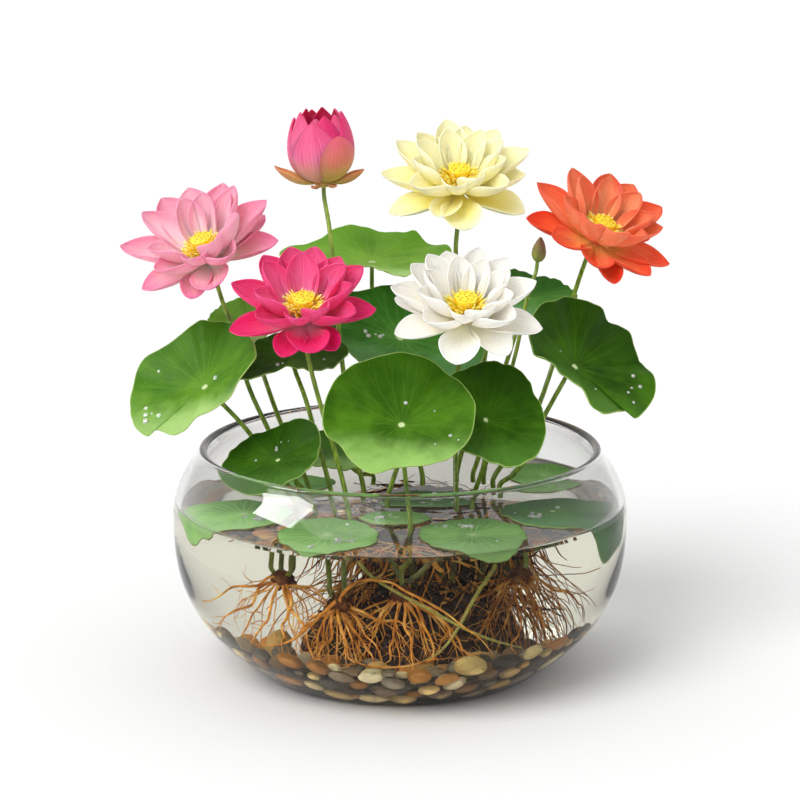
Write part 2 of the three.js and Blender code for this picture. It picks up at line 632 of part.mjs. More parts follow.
// Petals are [azimuth, elevation, length, width], the outermost first. Azimuth 270 is the front.
const flowers = [
  {
    name: 'pink_flower', at: [-124, 3, 273], facing: [-0.27, -0.37, 0.89], colour: 0xf0a0bc,
    petals: [
      [202, 0, 46, 28], [250, -6, 38, 24], [276, 5, 44, 29], [357, 0, 46, 29], [150, 6, 50, 28],
      [30, 6, 48, 28], [90, 4, 46, 28], [170, 23, 57, 29], [122, 33, 57, 30], [92, 38, 54, 30],
      [62, 37, 53, 30], [20, 25, 53, 29], [228, 24, 42, 28], [305, 24, 41, 27], [150, 45, 52, 26],
      [40, 42, 50, 26], [78, 57, 44, 24], [112, 58, 43, 24], [340, 46, 42, 25], [205, 38, 41, 24],
      [262, 34, 33, 23], [300, 44, 36, 23],
    ],
    stem: [[-115, 13, 240], [-108, 15, 222], [-100, 6, 190], [-86, -2, 160], [-64, -6, 115], [-63, -28, 96]],
    root: 'left_root_crown', foot: [-63, -41.5],
  },
  {
    name: 'magenta_flower', at: [-61, -41, 242], facing: [0.0, -0.4, 0.91], colour: 0xe0286c,
    petals: [
      [196, 0, 47, 28], [252, -7, 37, 23], [276, 6, 43, 30], [305, -5, 36, 22], [5, 5, 45, 28], [60, 4, 44, 27],
      [120, 4, 44, 27], [168, 25, 50, 28], [130, 34, 50, 28], [104, 38, 50, 28], [76, 38, 50, 28],
      [50, 36, 47, 27], [30, 29, 50, 28], [225, 26, 40, 28], [322, 26, 42, 27], [150, 48, 43, 25],
      [92, 54, 43, 27], [35, 48, 43, 25], [200, 42, 39, 24], [350, 44, 40, 24], [262, 34, 32, 22],
      [300, 42, 34, 22],
    ],
    stem: [[-58, -38, 214], [-49, -36, 178], [-42, -40, 156], [-32, -50, 115]],
    root: 'left_middle_root_crown', foot: [-30, -61],
  },
  {
    name: 'white_flower', at: [41, -46, 243], facing: [0.03, -0.4, 0.91], colour: 0xf6f1e6,
    petals: [
      [201, 0, 47, 28], [262, -8, 42, 29], [313, -8, 40, 27], [354, -2, 48, 30], [160, 6, 46, 27],
      [100, 4, 44, 27], [40, 6, 46, 27], [174, 25, 51, 28], [15, 28, 50, 28], [228, 24, 39, 28],
      [318, 26, 41, 28], [149, 35, 48, 28], [106, 38, 47, 28], [132, 45, 47, 26], [80, 48, 47, 27],
      [47, 43, 47, 27], [20, 50, 41, 24], [160, 50, 40, 24], [105, 58, 40, 23], [62, 56, 39, 23],
      [345, 42, 38, 24], [196, 40, 38, 24], [262, 38, 31, 22], [300, 40, 33, 23],
    ],
    stem: [[39, -28, 218], [36, -14, 185], [36, -24, 142]], foot: [36, -38],
  },
  {
    name: 'yellow_flower', at: [39, 43, 312], facing: [0.0, -0.37, 0.93], colour: 0xf4ec9c,
    petals: [
      [175, 12, 52, 27], [204, -9, 49, 27], [250, 2, 39, 22], [270, -6, 44, 30], [335, -8, 46, 29],
      [5, 13, 43, 27], [60, 6, 44, 27], [120, 6, 44, 27], [150, 25, 54, 28], [27, 22, 54, 28], [55, 33, 51, 28],
      [140, 42, 47, 26], [104, 40, 52, 28], [80, 42, 46, 26], [222, 24, 42, 28], [318, 24, 42, 28],
      [265, 34, 32, 24], [160, 48, 42, 24], [110, 56, 41, 24], [60, 52, 42, 24], [20, 46, 42, 24],
      [350, 42, 38, 24], [192, 40, 38, 24], [298, 40, 33, 23],
    ],
    stem: [[38, 45, 288], [38, 47, 262], [57, 47, 226], [56, 40, 196]], foot: [38, 33],
  },
  {
    name: 'orange_flower', at: [127, 13, 283], facing: [0.38, -0.35, 0.86], colour: 0xee5a32,
    petals: [
      [188, 0, 48, 28], [268, 5, 38, 27], [294, -6, 40, 22], [357, 8, 49, 28], [228, 8, 43, 27],
      [325, 6, 44, 27], [100, 4, 42, 27], [40, 8, 44, 27], [165, 18, 53, 28], [133, 31, 52, 28],
      [97, 39, 50, 29], [73, 37, 51, 29], [38, 32, 52, 29], [8, 34, 43, 27], [200, 38, 41, 26],
      [150, 50, 43, 25], [105, 56, 43, 25], [55, 52, 43, 25], [10, 48, 40, 25], [325, 42, 37, 25],
      [238, 40, 37, 27], [282, 42, 36, 27],
    ],
    stem: [[121, 30, 264], [114, 44, 236], [104, 43, 200], [86, 28, 155]], foot: [62, 18],
  },
];

// All the petals of a flower with the hub that they grow from, hollowed for the seed head.
function flowerPetals(flower) {
  const half = HUB_THICKNESS / 2;
  const hub = new THREE.CylinderGeometry(HUB_RADIUS, HUB_RADIUS - 4, HUB_RIM + half, 8).rotateX(Math.PI / 2);
  hub.translate(0, 0, (HUB_RIM - half) / 2);
  const petals = flower.petals.map(petalGeometry);
  const hollow = turned([[0, half], [5, half], [21, half + 30], [0, half + 30]], 10);
  const underside = new THREE.CylinderGeometry(9, 9, 20, 8).rotateX(Math.PI / 2);
  underside.translate(0, 0, -half - 10);
  return toGeometry(joined([hub, ...petals]).subtract(toSolid(hollow)).subtract(toSolid(underside)));
}

// The flat-topped seed head and the ring of stamens round its foot.
function seedHeadGeometry() {
  const foot = HUB_THICKNESS / 2 + GAP;
  const top = SEED_HEAD_TOP;
  return weld(turned([
    [0, foot], [4.5, foot], [11.5, top - 4], [9.8, top - 2.8], [5.2, foot + 5], [SEED_HEAD_RADIUS, top], [0, top],
  ], 10));
}

// ---- Buds ----

const pinkBud = {
  name: 'pink_bud', at: [-50.5, 45, 316], facing: [-0.06, 0, 1], colour: 0xe8608c,
  stem: [[-47, 40, 290], [-44, 34, 265], [-40, 14, 222], [-31, -5, 155]], foot: [-24, -7],
};

function pinkBudGeometry() {
  const profile = [[0, 0], [9, 0.5], [18.5, 10], [22.5, 23], [20, 37], [14, 47], [11, 41], [0, 37]];
  const body = turned(profile, 15);
  bend(body, (p) => {
    if (p.z > 45) {
      p.z += 2.2 * Math.cos(5 * Math.atan2(p.y, p.x));
    }
  });
  const sepals = [[178, 34, 31, 13], [2, 34, 30, 13], [248, -6, 13, 13], [300, -4, 13, 13], [80, 30, 28, 13]];
  const base = new THREE.CylinderGeometry(7, 4, 4, 10).rotateX(Math.PI / 2);
  return toGeometry(joined([body, base, ...sepals.map(petalGeometry)]));
}

const greenBud = {
  name: 'green_bud', at: [90, 25, 267], facing: [0.12, -0.05, 1],
  stem: [[85, 22, 250], [76, 22, 205], [64, 24, 160]], foot: [56, 27],
};

function greenBudGeometry() {
  const body = turned([[0, -1], [2.6, 0], [5.2, 5], [4.6, 9], [2.4, 13.5], [0, 16.5]], 10);
  const holder = new THREE.Object3D();
  turnTo(holder, greenBud);
  holder.updateMatrix();
  body.applyMatrix4(holder.matrix);
  const stalk = stalkGeometry(stalkPoints(greenBud, -1), FINE_STEM_RADIUS, STEM_STEPS);
  return toGeometry(joined([body, stalk]));
}

// ---- Water ----

// The water fills the glass down to the pebbles, with a pocket for everything that stands in it.
function waterGeometry() {
  const heights = INNER_HEIGHTS.filter((z) => z > BOWL_FLOOR * 2 && z <= WATER_LEVEL);
  const profile = [
    [0, heights[0]],
    ...heights.map((z) => [innerRadius(z) - GAP, z]),
    [0, WATER_LEVEL],
  ];
  const fill = toSolid(turned(profile, BOWL_SIDES));
  const sunkStems = [...standingLeaves, ...lowLeaves, ...flowers].filter((part) => part.root);
  const pockets = [
    bedGeometry(GAP),
    soilGeometry(GAP + 0.1),
    matGeometry(GAP),
    ...crowns.map((crown) => crownGeometry(crown, POCKET_GAP)),
    ...floatingLeaves.filter((leaf) => leaf.root).map((leaf) => sunkStalk(leaf, FINE_STEM_RADIUS + POCKET_GAP)),
    ...sunkStems.map((part) => stalkGeometry(stalkPoints(part, 2), STEM_RADIUS + POCKET_GAP, STEM_STEPS)),
  ];
  return toGeometry(fill.subtract(joined(pockets)));
}

// ---- Assembly ----

const lotusBowl = new THREE.Group();

function addPiece(name, geometry, material, parent = lotusBowl) {
  const mesh = new THREE.Mesh(geometry, material);
  mesh.name = name;
  parent.add(mesh);
  return mesh;
}

addPiece('glass_bowl', bowlGeometry(), clearGlass);
addPiece('water', waterGeometry(), clearWater);
addPiece('pebble_bed', bedGeometry(0), riverPebble);
addPiece('soil', soilGeometry(0), wetSoil);
addPiece('root_mat', matGeometry(0), rootBrown);

for (const crown of crowns) {
  addPiece(crown.name, crownGeometry(crown, 0), rootBrown);
}

for (const leaf of standingLeaves) {
  turnTo(addPiece(leaf.name, bladeGeometry(leaf, LEAF_THICKNESS), leafGreen), leaf);
  const below = LEAF_THICKNESS / 2 + GAP + 0.15;
  addPiece(`${leaf.name}_stem`, stalkGeometry(stalkPoints(leaf, below), STEM_RADIUS, STEM_STEPS), stemGreen);
}

for (const leaf of lowLeaves) {
  addPiece(leaf.name, lowLeafGeometry(leaf), leafGreen);
}

for (const leaf of floatingLeaves) {
  addPiece(leaf.name, floatingLeafGeometry(leaf), leafGreen);
}

for (const flower of flowers) {
  const head = new THREE.Group();
  turnTo(head, flower);
  lotusBowl.add(head);
  const petalColour = finish(flower.colour, 0.55);
  addPiece(`${flower.name}_petals`, flowerPetals(flower), petalColour, head);
  addPiece(`${flower.name}_seed_head`, seedHeadGeometry(), seedYellow, head);
  const below = HUB_THICKNESS / 2 + GAP;
  addPiece(`${flower.name}_stem`, stalkGeometry(stalkPoints(flower, below), STEM_RADIUS, STEM_STEPS), stemGreen);
}

turnTo(addPiece(pinkBud.name, pinkBudGeometry(), finish(pinkBud.colour, 0.5)), pinkBud);
addPiece('pink_bud_stem', stalkGeometry(stalkPoints(pinkBud, 2 + GAP), STEM_RADIUS, STEM_STEPS), stemGreen);
addPiece(greenBud.name, greenBudGeometry(), budGreen);

export default lotusBowl;
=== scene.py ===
# A lotus in a round glass pond bowl: glass, water, pebbles, soil, roots, leaves, flowers and buds.
# Metres, +Z up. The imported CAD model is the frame. Lengths are written in millimetres times MM.

import math
import random

import bpy
from mathutils import Euler, Matrix, Vector, noise


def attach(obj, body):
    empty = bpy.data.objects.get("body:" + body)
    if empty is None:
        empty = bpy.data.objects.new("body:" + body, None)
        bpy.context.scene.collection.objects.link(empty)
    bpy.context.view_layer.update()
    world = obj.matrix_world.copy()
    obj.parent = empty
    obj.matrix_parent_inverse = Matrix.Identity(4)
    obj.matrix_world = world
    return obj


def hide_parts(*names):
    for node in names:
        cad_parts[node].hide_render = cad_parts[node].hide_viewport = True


MM = 0.001
UP = Vector((0, 0, 1))
MERGE_WITHIN = 0.01 * MM

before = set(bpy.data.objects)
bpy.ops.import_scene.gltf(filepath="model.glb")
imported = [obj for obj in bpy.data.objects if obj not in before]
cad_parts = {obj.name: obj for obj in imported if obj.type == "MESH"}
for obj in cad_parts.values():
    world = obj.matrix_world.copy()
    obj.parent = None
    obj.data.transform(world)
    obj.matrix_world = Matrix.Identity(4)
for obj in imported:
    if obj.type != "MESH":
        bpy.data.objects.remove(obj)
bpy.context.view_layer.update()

# ---- Camera, floor and light ----

PICTURE_WIDTH = 800
PITCH = math.radians(12.7)
AIM_HEIGHT = 179.7 * MM
CAMERA_DISTANCE = 1.6986
LENS = 117
SENSOR = 36
FAR_ENOUGH = 100  # how far the camera sees
FLOOR_SIZE = 60
SKY_LOW = 1.0  # how bright the studio is at the horizon
SKY_HIGH = 0.7
SKY_EVEN_FROM = 0.7  # the z of a direction, above which the sky is even
SUN_AT = (-0.75, -1.0, 1.35)
SUN_POWER = 2.1
SUN_WIDTH = math.radians(38)
SOFTBOX_AT = (-1.2, -0.41, 1.09)
SOFTBOX_SIZE = (0.66, 0.6)
SOFTBOX_POWER = 38
LAMPS_AIM = Vector((0, 0, 0.15))

# The line of sight, for rims that are given as the camera sees them. The eye is in millimetres.
SIGHT = Vector((0, math.cos(PITCH), -math.sin(PITCH)))
SIGHT_UP = Vector((0, math.sin(PITCH), math.cos(PITCH)))
EYE = (Vector((0, 0, AIM_HEIGHT)) - SIGHT * CAMERA_DISTANCE) / MM
LENS_UNITS = PICTURE_WIDTH * LENS / SENSOR

# ---- Bowl, in millimetres, as the CAD bowl ----

BOWL_HEIGHT = 150
FOOT_RADIUS = 89
WIDEST_RADIUS = 149
WIDEST_AT = 105
BELLY_POWER = 2.8
WALL = 4.5
BOWL_FLOOR = 7
RIM_RADIUS = 129
RIM_DROP = 18
LIP_RADIUS = 2.8
LIP_STEP = 15  # degrees between the points round the lip
FOOT_EDGE = 0.8  # the height of the foot's blunt edge
COVE = 4  # how far above the floor the wall's inside starts to bend in
COVE_WIDTH = 6
OUTSIDE = (2.5, 142, 44)  # from, to and the number of rings
DRY_TOP = 140
DRY_RINGS = 12
WET_RINGS = 36
TURN_STEPS = 160

# The still water touches the undersides of the leaves that lie on it.
WATER_LEVEL = 113.7
WATER_SINK = 0.25  # how far the water reaches into the wall
MENISCUS = 0.9
BED_FLAT_TOP = 30
BED_FLAT_RADIUS = 100
BED_BANK = 12  # from the flat part to the top of the bank
BANK_TOP = 38
BANK_MORE_AT_SIDES = 9
BANK_LESS_BEHIND = 14
MAT_MIDDLE = Vector((18, 0, 0))  # of the root mat, which stands a little to the right
UNDER_SURFACE = 112.5  # where the sunk threads stop


# ---- Modelling ----


def only(piece):
    for other in list(bpy.context.selected_objects):
        other.select_set(False)
    piece.select_set(True)
    bpy.context.view_layer.objects.active = piece


def added(name):
    piece = bpy.context.object
    piece.name = name
    only(piece)
    return piece


def move_points(piece, place):
    for vertex in piece.data.vertices:
        vertex.co = place(vertex.co)


def modified(piece, kind, **settings):
    only(piece)
    modifier = piece.modifiers.new(kind, kind)
    for name, value in settings.items():
        setattr(modifier, name, value)
    bpy.ops.object.modifier_apply(modifier=modifier.name)
    return piece


def copied(piece, name, place=None):
    copy = bpy.data.objects.new(name, piece.data.copy())
    bpy.context.scene.collection.objects.link(copy)
    if place is not None:
        copy.data.transform(place)
    return copy


def joined(pieces, name):
    only(pieces[0])
    for piece in pieces[1:]:
        piece.select_set(True)
    if len(pieces) > 1:
        bpy.ops.object.join()
    return added(name)


def smooth(piece):
    for face in piece.data.polygons:
        face.use_smooth = True
    return piece


def edit(piece):
    only(piece)
    bpy.ops.object.mode_set(mode="EDIT")
    bpy.ops.mesh.select_all(action="SELECT")


def leave_edit():
    bpy.ops.object.mode_set(mode="OBJECT")


def turned(name, profile):
    """A profile of [radius, height] pairs in millimetres, spun about Z and closed at its poles."""
    mesh = bpy.data.meshes.new(name)
    points = [(radius * MM, 0, height * MM) for radius, height in profile]
    mesh.from_pydata(points, [(i, i + 1) for i in range(len(points) - 1)], [])
    piece = bpy.data.objects.new(name, mesh)
    bpy.context.scene.collection.objects.link(piece)
    edit(piece)
    bpy.ops.mesh.spin(steps=TURN_STEPS, angle=math.tau, center=(0, 0, 0), axis=(0, 0, 1))
    bpy.ops.mesh.select_all(action="SELECT")
    bpy.ops.mesh.remove_doubles(threshold=MERGE_WITHIN)
    bpy.ops.mesh.normals_make_consistent(inside=False)
    leave_edit()
    return smooth(piece)


def rounded(line, steps):
    """More points along a line of (point, radius) pairs, on a smooth curve that goes through all of them."""
    points = [Vector(point) for point, _ in line]
    points = [2 * points[0] - points[1], *points, 2 * points[-1] - points[-2]]
    smoothed = []
    for i in range(len(line) - 1):
        p, q, r, s = points[i:i + 4]
        knots = [0.0]
        for a, b in ((p, q), (q, r), (r, s)):
            knots.append(knots[-1] + max(1e-6, (b - a).length) ** 0.5)
        k0, k1, k2, k3 = knots
        for step in range(steps):
            t = k1 + (k2 - k1) * step / steps
            a1 = p.lerp(q, (t - k0) / (k1 - k0))
            a2 = q.lerp(r, (t - k1) / (k2 - k1))
            a3 = r.lerp(s, (t - k2) / (k3 - k2))
            b1 = a1.lerp(a2, (t - k0) / (k2 - k0))
            b2 = a2.lerp(a3, (t - k1) / (k3 - k1))
            radius = line[i][1] + (line[i + 1][1] - line[i][1]) * step / steps
            smoothed.append((b1.lerp(b2, (t - k1) / (k2 - k1)), radius))
    smoothed.append((Vector(line[-1][0]), line[-1][1]))
    return smoothed


def threads(name, lines, roundness, steps=2):
    """Round threads of changing thickness. Each line is a list of (point, radius) in millimetres."""
    curve = bpy.data.curves.new(name, "CURVE")
    curve.dimensions = "3D"
    curve.bevel_depth = 1
    curve.bevel_resolution = roundness
    curve.use_fill_caps = True
    for line in lines:
        line = rounded(line, steps)
        spline = curve.splines.new("POLY")
        spline.points.add(len(line) - 1)
        for knot, (point, radius) in zip(spline.points, line):
            knot.co = (*(Vector(point) * MM), 1)
            knot.radius = radius * MM
    piece = bpy.data.objects.new(name, curve)
    bpy.context.scene.collection.objects.link(piece)
    only(piece)
    bpy.ops.object.convert(target="MESH")
    return smooth(added(name))


def set_number(piece, name, numbers):
    """A number for each vertex that a material can read."""
    layer = piece.data.attributes.get(name) or piece.data.attributes.new(name, "FLOAT", "POINT")
    values = [numbers] * len(piece.data.vertices) if isinstance(numbers, (int, float)) else numbers
    layer.data.foreach_set("value", values)


def painted(pieces, *materials):
    """Gives each piece these materials and no others."""
    for piece in pieces:
        piece.data.materials.clear()
        for material in materials:
            piece.data.materials.append(material)
    return pieces


def towards(direction):
    """The turn of a thing that stands upright, so that it looks in that direction."""
    return UP.rotation_difference(Vector(direction)).to_matrix().to_4x4()


def outwards(turn):
    return Vector((math.cos(turn), math.sin(turn), 0))


def keep(piece, slot, *nodes, materials=()):
    """The piece is finished: it rides on the part and stands for the CAD nodes that it replaces."""
    for material in materials:
        piece.data.materials.append(material)
    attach(piece, "root")
    if nodes:
        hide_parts(*nodes)
    return piece


# ---- Materials ----


class Value:
    """A number that changes over a surface. Sums and products of it add their Math nodes."""

    def __init__(self, paint, socket):
        self.paint = paint
        self.socket = socket

    def maths(self, operation, *operands):
        sockets = dict(enumerate(operands))
        return self.paint.node("ShaderNodeMath", {"operation": operation}, sockets)

    def __add__(self, other):
        return self.maths("ADD", self, other)

    def __sub__(self, other):
        return self.maths("SUBTRACT", self, other)

    def __rsub__(self, other):
        return self.maths("SUBTRACT", other, self)

    def __mul__(self, other):
        return self.maths("MULTIPLY", self, other)

    def __truediv__(self, other):
        return self.maths("DIVIDE", self, other)

    def __pow__(self, other):
        return self.maths("POWER", self, other)

    __radd__ = __add__
    __rmul__ = __mul__

    def size(self):
        return self.maths("ABSOLUTE", self)

    def part(self):
        return self.maths("FRACT", self)

    def above(self, low, high):
        """0 below low, 1 above high, and smooth between them; low may be the larger."""
        settings = {"interpolation_type": "SMOOTHSTEP"}
        sockets = {"Value": self, "From Min": low, "From Max": high}
        return self.paint.node("ShaderNodeMapRange", settings, sockets)


class Paint:
    """A material built on one Principled shader."""

    def __init__(self, name, **constants):
        self.material = bpy.data.materials.new(name)
        self.material.use_nodes = True
        self.tree = self.material.node_tree
        self.tree.nodes.clear()
        out = self.tree.nodes.new("ShaderNodeOutputMaterial")
        self.shader = self.tree.nodes.new("ShaderNodeBsdfPrincipled")
        self.tree.links.new(self.shader.outputs[0], out.inputs["Surface"])
        self.set(**constants)

    def set(self, **sockets):
        for name, value in sockets.items():
            self.plug(self.shader.inputs[name.replace("_", " ")], value)
        return self

    def plug(self, socket, value):
        if isinstance(value, Value):
            self.tree.links.new(value.socket, socket)
        elif isinstance(value, (tuple, list)) and len(value) == 3 and socket.type == "RGBA":
            socket.default_value = (*value, 1)
        else:
            socket.default_value = value

    def node(self, kind, settings=None, sockets=None, output=0):
        node = self.tree.nodes.new(kind)
        for name, value in (settings or {}).items():
            if name == "stops":
                ramp = node.color_ramp
                while len(ramp.elements) < len(value):
                    ramp.elements.new(0.5)
                for stop, (position, colour) in zip(ramp.elements, value):
                    stop.position = position
                    stop.color = (*colour, 1)
            else:
                setattr(node, name, value)
        for name, value in (sockets or {}).items():
            self.plug(node.inputs[name], value)
        return Value(self, node.outputs[output])

    def place(self):
        return self.node("ShaderNodeTexCoord", output="Object")

    def flat_place(self):
        return self.node("ShaderNodeTexCoord", output="UV")

    def split(self, vector):
        node = self.node("ShaderNodeSeparateXYZ", sockets={0: vector})
        outputs = node.socket.node.outputs
        return [Value(self, socket) for socket in outputs]

    def vector(self, x, y, z):
        return self.node("ShaderNodeCombineXYZ", sockets={0: x, 1: y, 2: z})

    def stretched(self, vector, scale):
        return self.node("ShaderNodeMapping", sockets={"Vector": vector, "Scale": scale})

    def number(self, name):
        return self.node("ShaderNodeAttribute", {"attribute_name": name}, output="Fac")

    def cloud(self, size, detail, vector=None, roughness=0.55):
        """Smooth noise, about 0.5 on average. Size is in millimetres where no vector is given."""
        sockets = {
            "Scale": 1 / (size * MM) if vector is None else 1.0, "Detail": detail, "Roughness": roughness,
        }
        sockets["Vector"] = self.place() if vector is None else vector
        return self.node("ShaderNodeTexNoise", {"noise_dimensions": "3D"}, sockets)

    def cells(self, size, feature="F1", output="Distance"):
        """Cells of that size in millimetres."""
        sockets = {"Scale": 1 / (size * MM), "Vector": self.place()}
        return self.node("ShaderNodeTexVoronoi", {"feature": feature}, sockets, output)

    def ramp(self, factor, *stops):
        return self.node("ShaderNodeValToRGB", {"stops": stops}, {"Fac": factor})

    def mix(self, factor, first, second):
        """The first colour where the factor is 0, the second where it is 1."""
        node = self.node("ShaderNodeMix", {"data_type": "RGBA"}, {"Factor": factor}).socket.node
        self.plug(node.inputs[6], first)
        self.plug(node.inputs[7], second)
        return Value(self, node.outputs[2])

    def bump(self, height, depth):
        """Relief from a height of 0 to 1, that deep in millimetres."""
        return self.node(
            "ShaderNodeBump", sockets={"Height": height, "Distance": depth * MM, "Strength": 1.0},
        )


def clear_paint(name, ior, colour=(1, 1, 1), gloss=1.0):
    """Clear all through. A reflection tint below 1 greys the mirror image, so the surface mirrors less of a
    pale room: painted shade on its reflections.
    """
    mirrored = (gloss, gloss, gloss)
    paint = Paint(
        name, Base_Color=colour, Roughness=0.0, IOR=ior, Transmission_Weight=1.0, Specular_Tint=mirrored,
    )
    return paint.material


VEINS = 21
VEIN_FORKS = (0.42, 0.7)  # where the veins fork, as a share of the way to the rim


def leaf_paint(name, dark, light, vein, bloom_and_painted_light, rim=None, veined=0.16):
    """Green skin with a pale middle, and faint veins that fork twice on their way to the rim. It is lighter
    towards its low side and darker towards its upper side: painted light and painted shade.
    """
    paint = Paint(
        name, Specular_IOR_Level=0.06, Subsurface_Weight=0.12, Subsurface_Radius=(0.3, 0.6, 0.1),
        Subsurface_Scale=2 * MM,
    )
    x, y, _ = paint.split(paint.flat_place())
    x, y = (x - 0.5) * 2, (y - 0.5) * 2
    reach = (x * x + y * y) ** 0.5
    turn = y.maths("ARCTAN2", y, x) / math.tau
    wander = paint.cloud(14, 2.0) - 0.5
    from_vein = ((turn * VEINS + wander * 0.35).part() - 0.5).size() / VEINS * math.tau
    for fork in VEIN_FORKS:
        from_vein = (from_vein - reach.maths("MAXIMUM", reach - fork, 0.0) * 0.16).size()
    away = from_vein * reach
    line = away.above(0.018, 0.003) * (1.05 - reach * 0.6)
    net = paint.cells(2.2, "DISTANCE_TO_EDGE").above(0.09, 0.02)
    tone = paint.cloud(30, 3.0)
    streak = paint.cloud(1, 3.0, paint.vector(turn * 26, reach * 2.2, wander))
    skin = paint.mix(tone.above(0.3, 0.7), dark, light)
    skin = paint.mix(streak.above(0.42, 0.75) * 0.35, skin, light)
    skin = paint.mix(streak.above(0.5, 0.25) * 0.3, skin, dark)
    skin = paint.mix(paint.cloud(24, 2.0, paint.place()).above(0.55, 0.75) * 0.35, skin, bloom_and_painted_light)
    # Lighter towards the low side, in the bloom colour: painted light.
    skin = paint.mix((y + wander * 0.5).above(-0.1, -0.9) * 0.8, skin, bloom_and_painted_light)
    # Darker towards the upper side: painted shade, as under the flowers above.
    skin = paint.mix((y + wander * 0.5).above(-0.2, 0.8) * 0.75, skin, dark)
    skin = paint.mix(net * 0.06, skin, light)
    skin = paint.mix(line * (1.0 - reach * 0.5) * veined, skin, vein)
    skin = paint.mix(reach.above(0.055, 0.035), skin, (0.5, 0.62, 0.3))
    if rim:
        skin = paint.mix(reach.above(0.985, 0.997) * 0.8, skin, rim)
    height = 0.6 - line * 0.5 - net * 0.1 + paint.cloud(5, 2.0) * 0.3
    paint.set(Base_Color=skin, Normal=paint.bump(height, 0.2), Roughness=0.46 + tone * 0.16)
    return paint.material


def stem_paint(name, low, high, prickle, darker_below_water=0.6):
    """Green stalk with small dark prickles, darker and browner by that much below the waterline."""
    paint = Paint(name, Roughness=0.45, Subsurface_Weight=0.1, Subsurface_Scale=2 * MM)
    streak = paint.cloud(3, 2.0, paint.stretched(paint.place(), (420, 420, 60)))
    skin = paint.mix(streak.above(0.35, 0.7), low, high)
    spots = paint.cells(3.2).above(0.16, 0.08)
    skin = paint.mix(spots * 0.5, skin, prickle)
    _, _, height = paint.split(paint.place())
    skin = paint.mix(height.above(0.114, 0.108) * darker_below_water, skin, (0.13, 0.12, 0.015))
    paint.set(Base_Color=skin, Normal=paint.bump(streak * 0.4 + spots, 0.3))
    return paint.material


def petal_paint(name, base, light, dark, tip, vein):
    """Silky petal: glowing at its foot, deeper at its tip and edges, finely veined. Its tone darkens it; on
    the low outer petals that darkening is partly painted shade.
    """
    paint = Paint(
        name, Roughness=0.5, Specular_IOR_Level=0.2, Subsurface_Weight=0.4, Subsurface_Radius=(1.0, 0.7, 0.5),
        Subsurface_Scale=4 * MM, Sheen_Weight=0.03, Sheen_Roughness=0.4,
    )
    x, y, _ = paint.split(paint.flat_place())
    side = (x - 0.5) * 2
    tone = paint.number("tone")
    wander = paint.cloud(1, 2.0, paint.vector(x * 3, y * 1.2, tone * 9))
    fine = paint.cloud(1, 2.0, paint.vector(x * 60, y * 1.6, tone * 9))
    patch = paint.cloud(1, 1.0, paint.vector(x * 1.6, y * 1.6, tone * 23))
    line = ((side * (9.0 - y * 2.0) + wander * 1.2).part() - 0.5).size().above(0.2, 0.03)
    skin = paint.mix(tone + (patch - 0.5) * 0.9, light, dark)
    skin = paint.mix((y + (wander - 0.5) * 0.5).above(0.38, 1.0) * (tone * 0.4 + 0.5), skin, tip)
    skin = paint.mix(fine.above(0.42, 0.7) * 0.45, skin, vein)
    skin = paint.mix(fine.above(0.5, 0.25) * 0.25, skin, light)
    skin = paint.mix(line * y * 0.22, skin, vein)
    skin = paint.mix(side.size() ** 3 * 0.55, skin, tip)
    skin = paint.mix((y + (wander - 0.5) * 0.3).above(0.52, 0.06) * 0.9, skin, base)
    paint.set(Base_Color=skin, Normal=paint.bump(line * 0.5 + fine * 0.8, 0.22))
    return paint.material


IOR_IN_WATER = 1.15  # what lies in water reflects less than it does in air


def root_paint(name, dark, warm, pale):
    """Stringy root, paler and darker along its way."""
    paint = Paint(name, IOR=IOR_IN_WATER, Subsurface_Weight=0.1, Subsurface_Scale=1.5 * MM)
    tone = paint.cloud(9, 4.0)
    skin = paint.ramp(tone, (0.32, dark), (0.5, warm), (0.68, pale))
    rough = paint.cloud(1.2, 3.0)
    paint.set(Base_Color=skin, Normal=paint.bump(rough, 0.35), Roughness=0.45 + tone * 0.3)
    return paint.material


def soil_paint():
    """Dark wet clods with grit between them."""
    paint = Paint("pond_soil", Roughness=0.85, IOR=IOR_IN_WATER)
    clods = paint.cloud(6, 6.0, roughness=0.7)
    grit = paint.cells(1.6)
    skin = paint.ramp(
        clods, (0.3, (0.03, 0.018, 0.016)), (0.5, (0.075, 0.045, 0.04)), (0.7, (0.14, 0.085, 0.07)),
    )
    paint.set(Base_Color=skin, Normal=paint.bump(clods + grit * 0.4, 1.6))
    return paint.material


def gravel_paint():
    """The small dark stones that show between the pebbles."""
    paint = Paint("dark_gravel", Roughness=0.8, IOR=IOR_IN_WATER)
    grains = paint.cells(3.5, output="Color")
    tone, _, _ = paint.split(grains)
    skin = paint.ramp(tone, (0.0, (0.03, 0.022, 0.015)), (0.6, (0.09, 0.06, 0.035)), (1.0, (0.2, 0.14, 0.08)))
    paint.set(Base_Color=skin, Normal=paint.bump(1 - paint.cells(3.5), 1.5))
    return paint.material


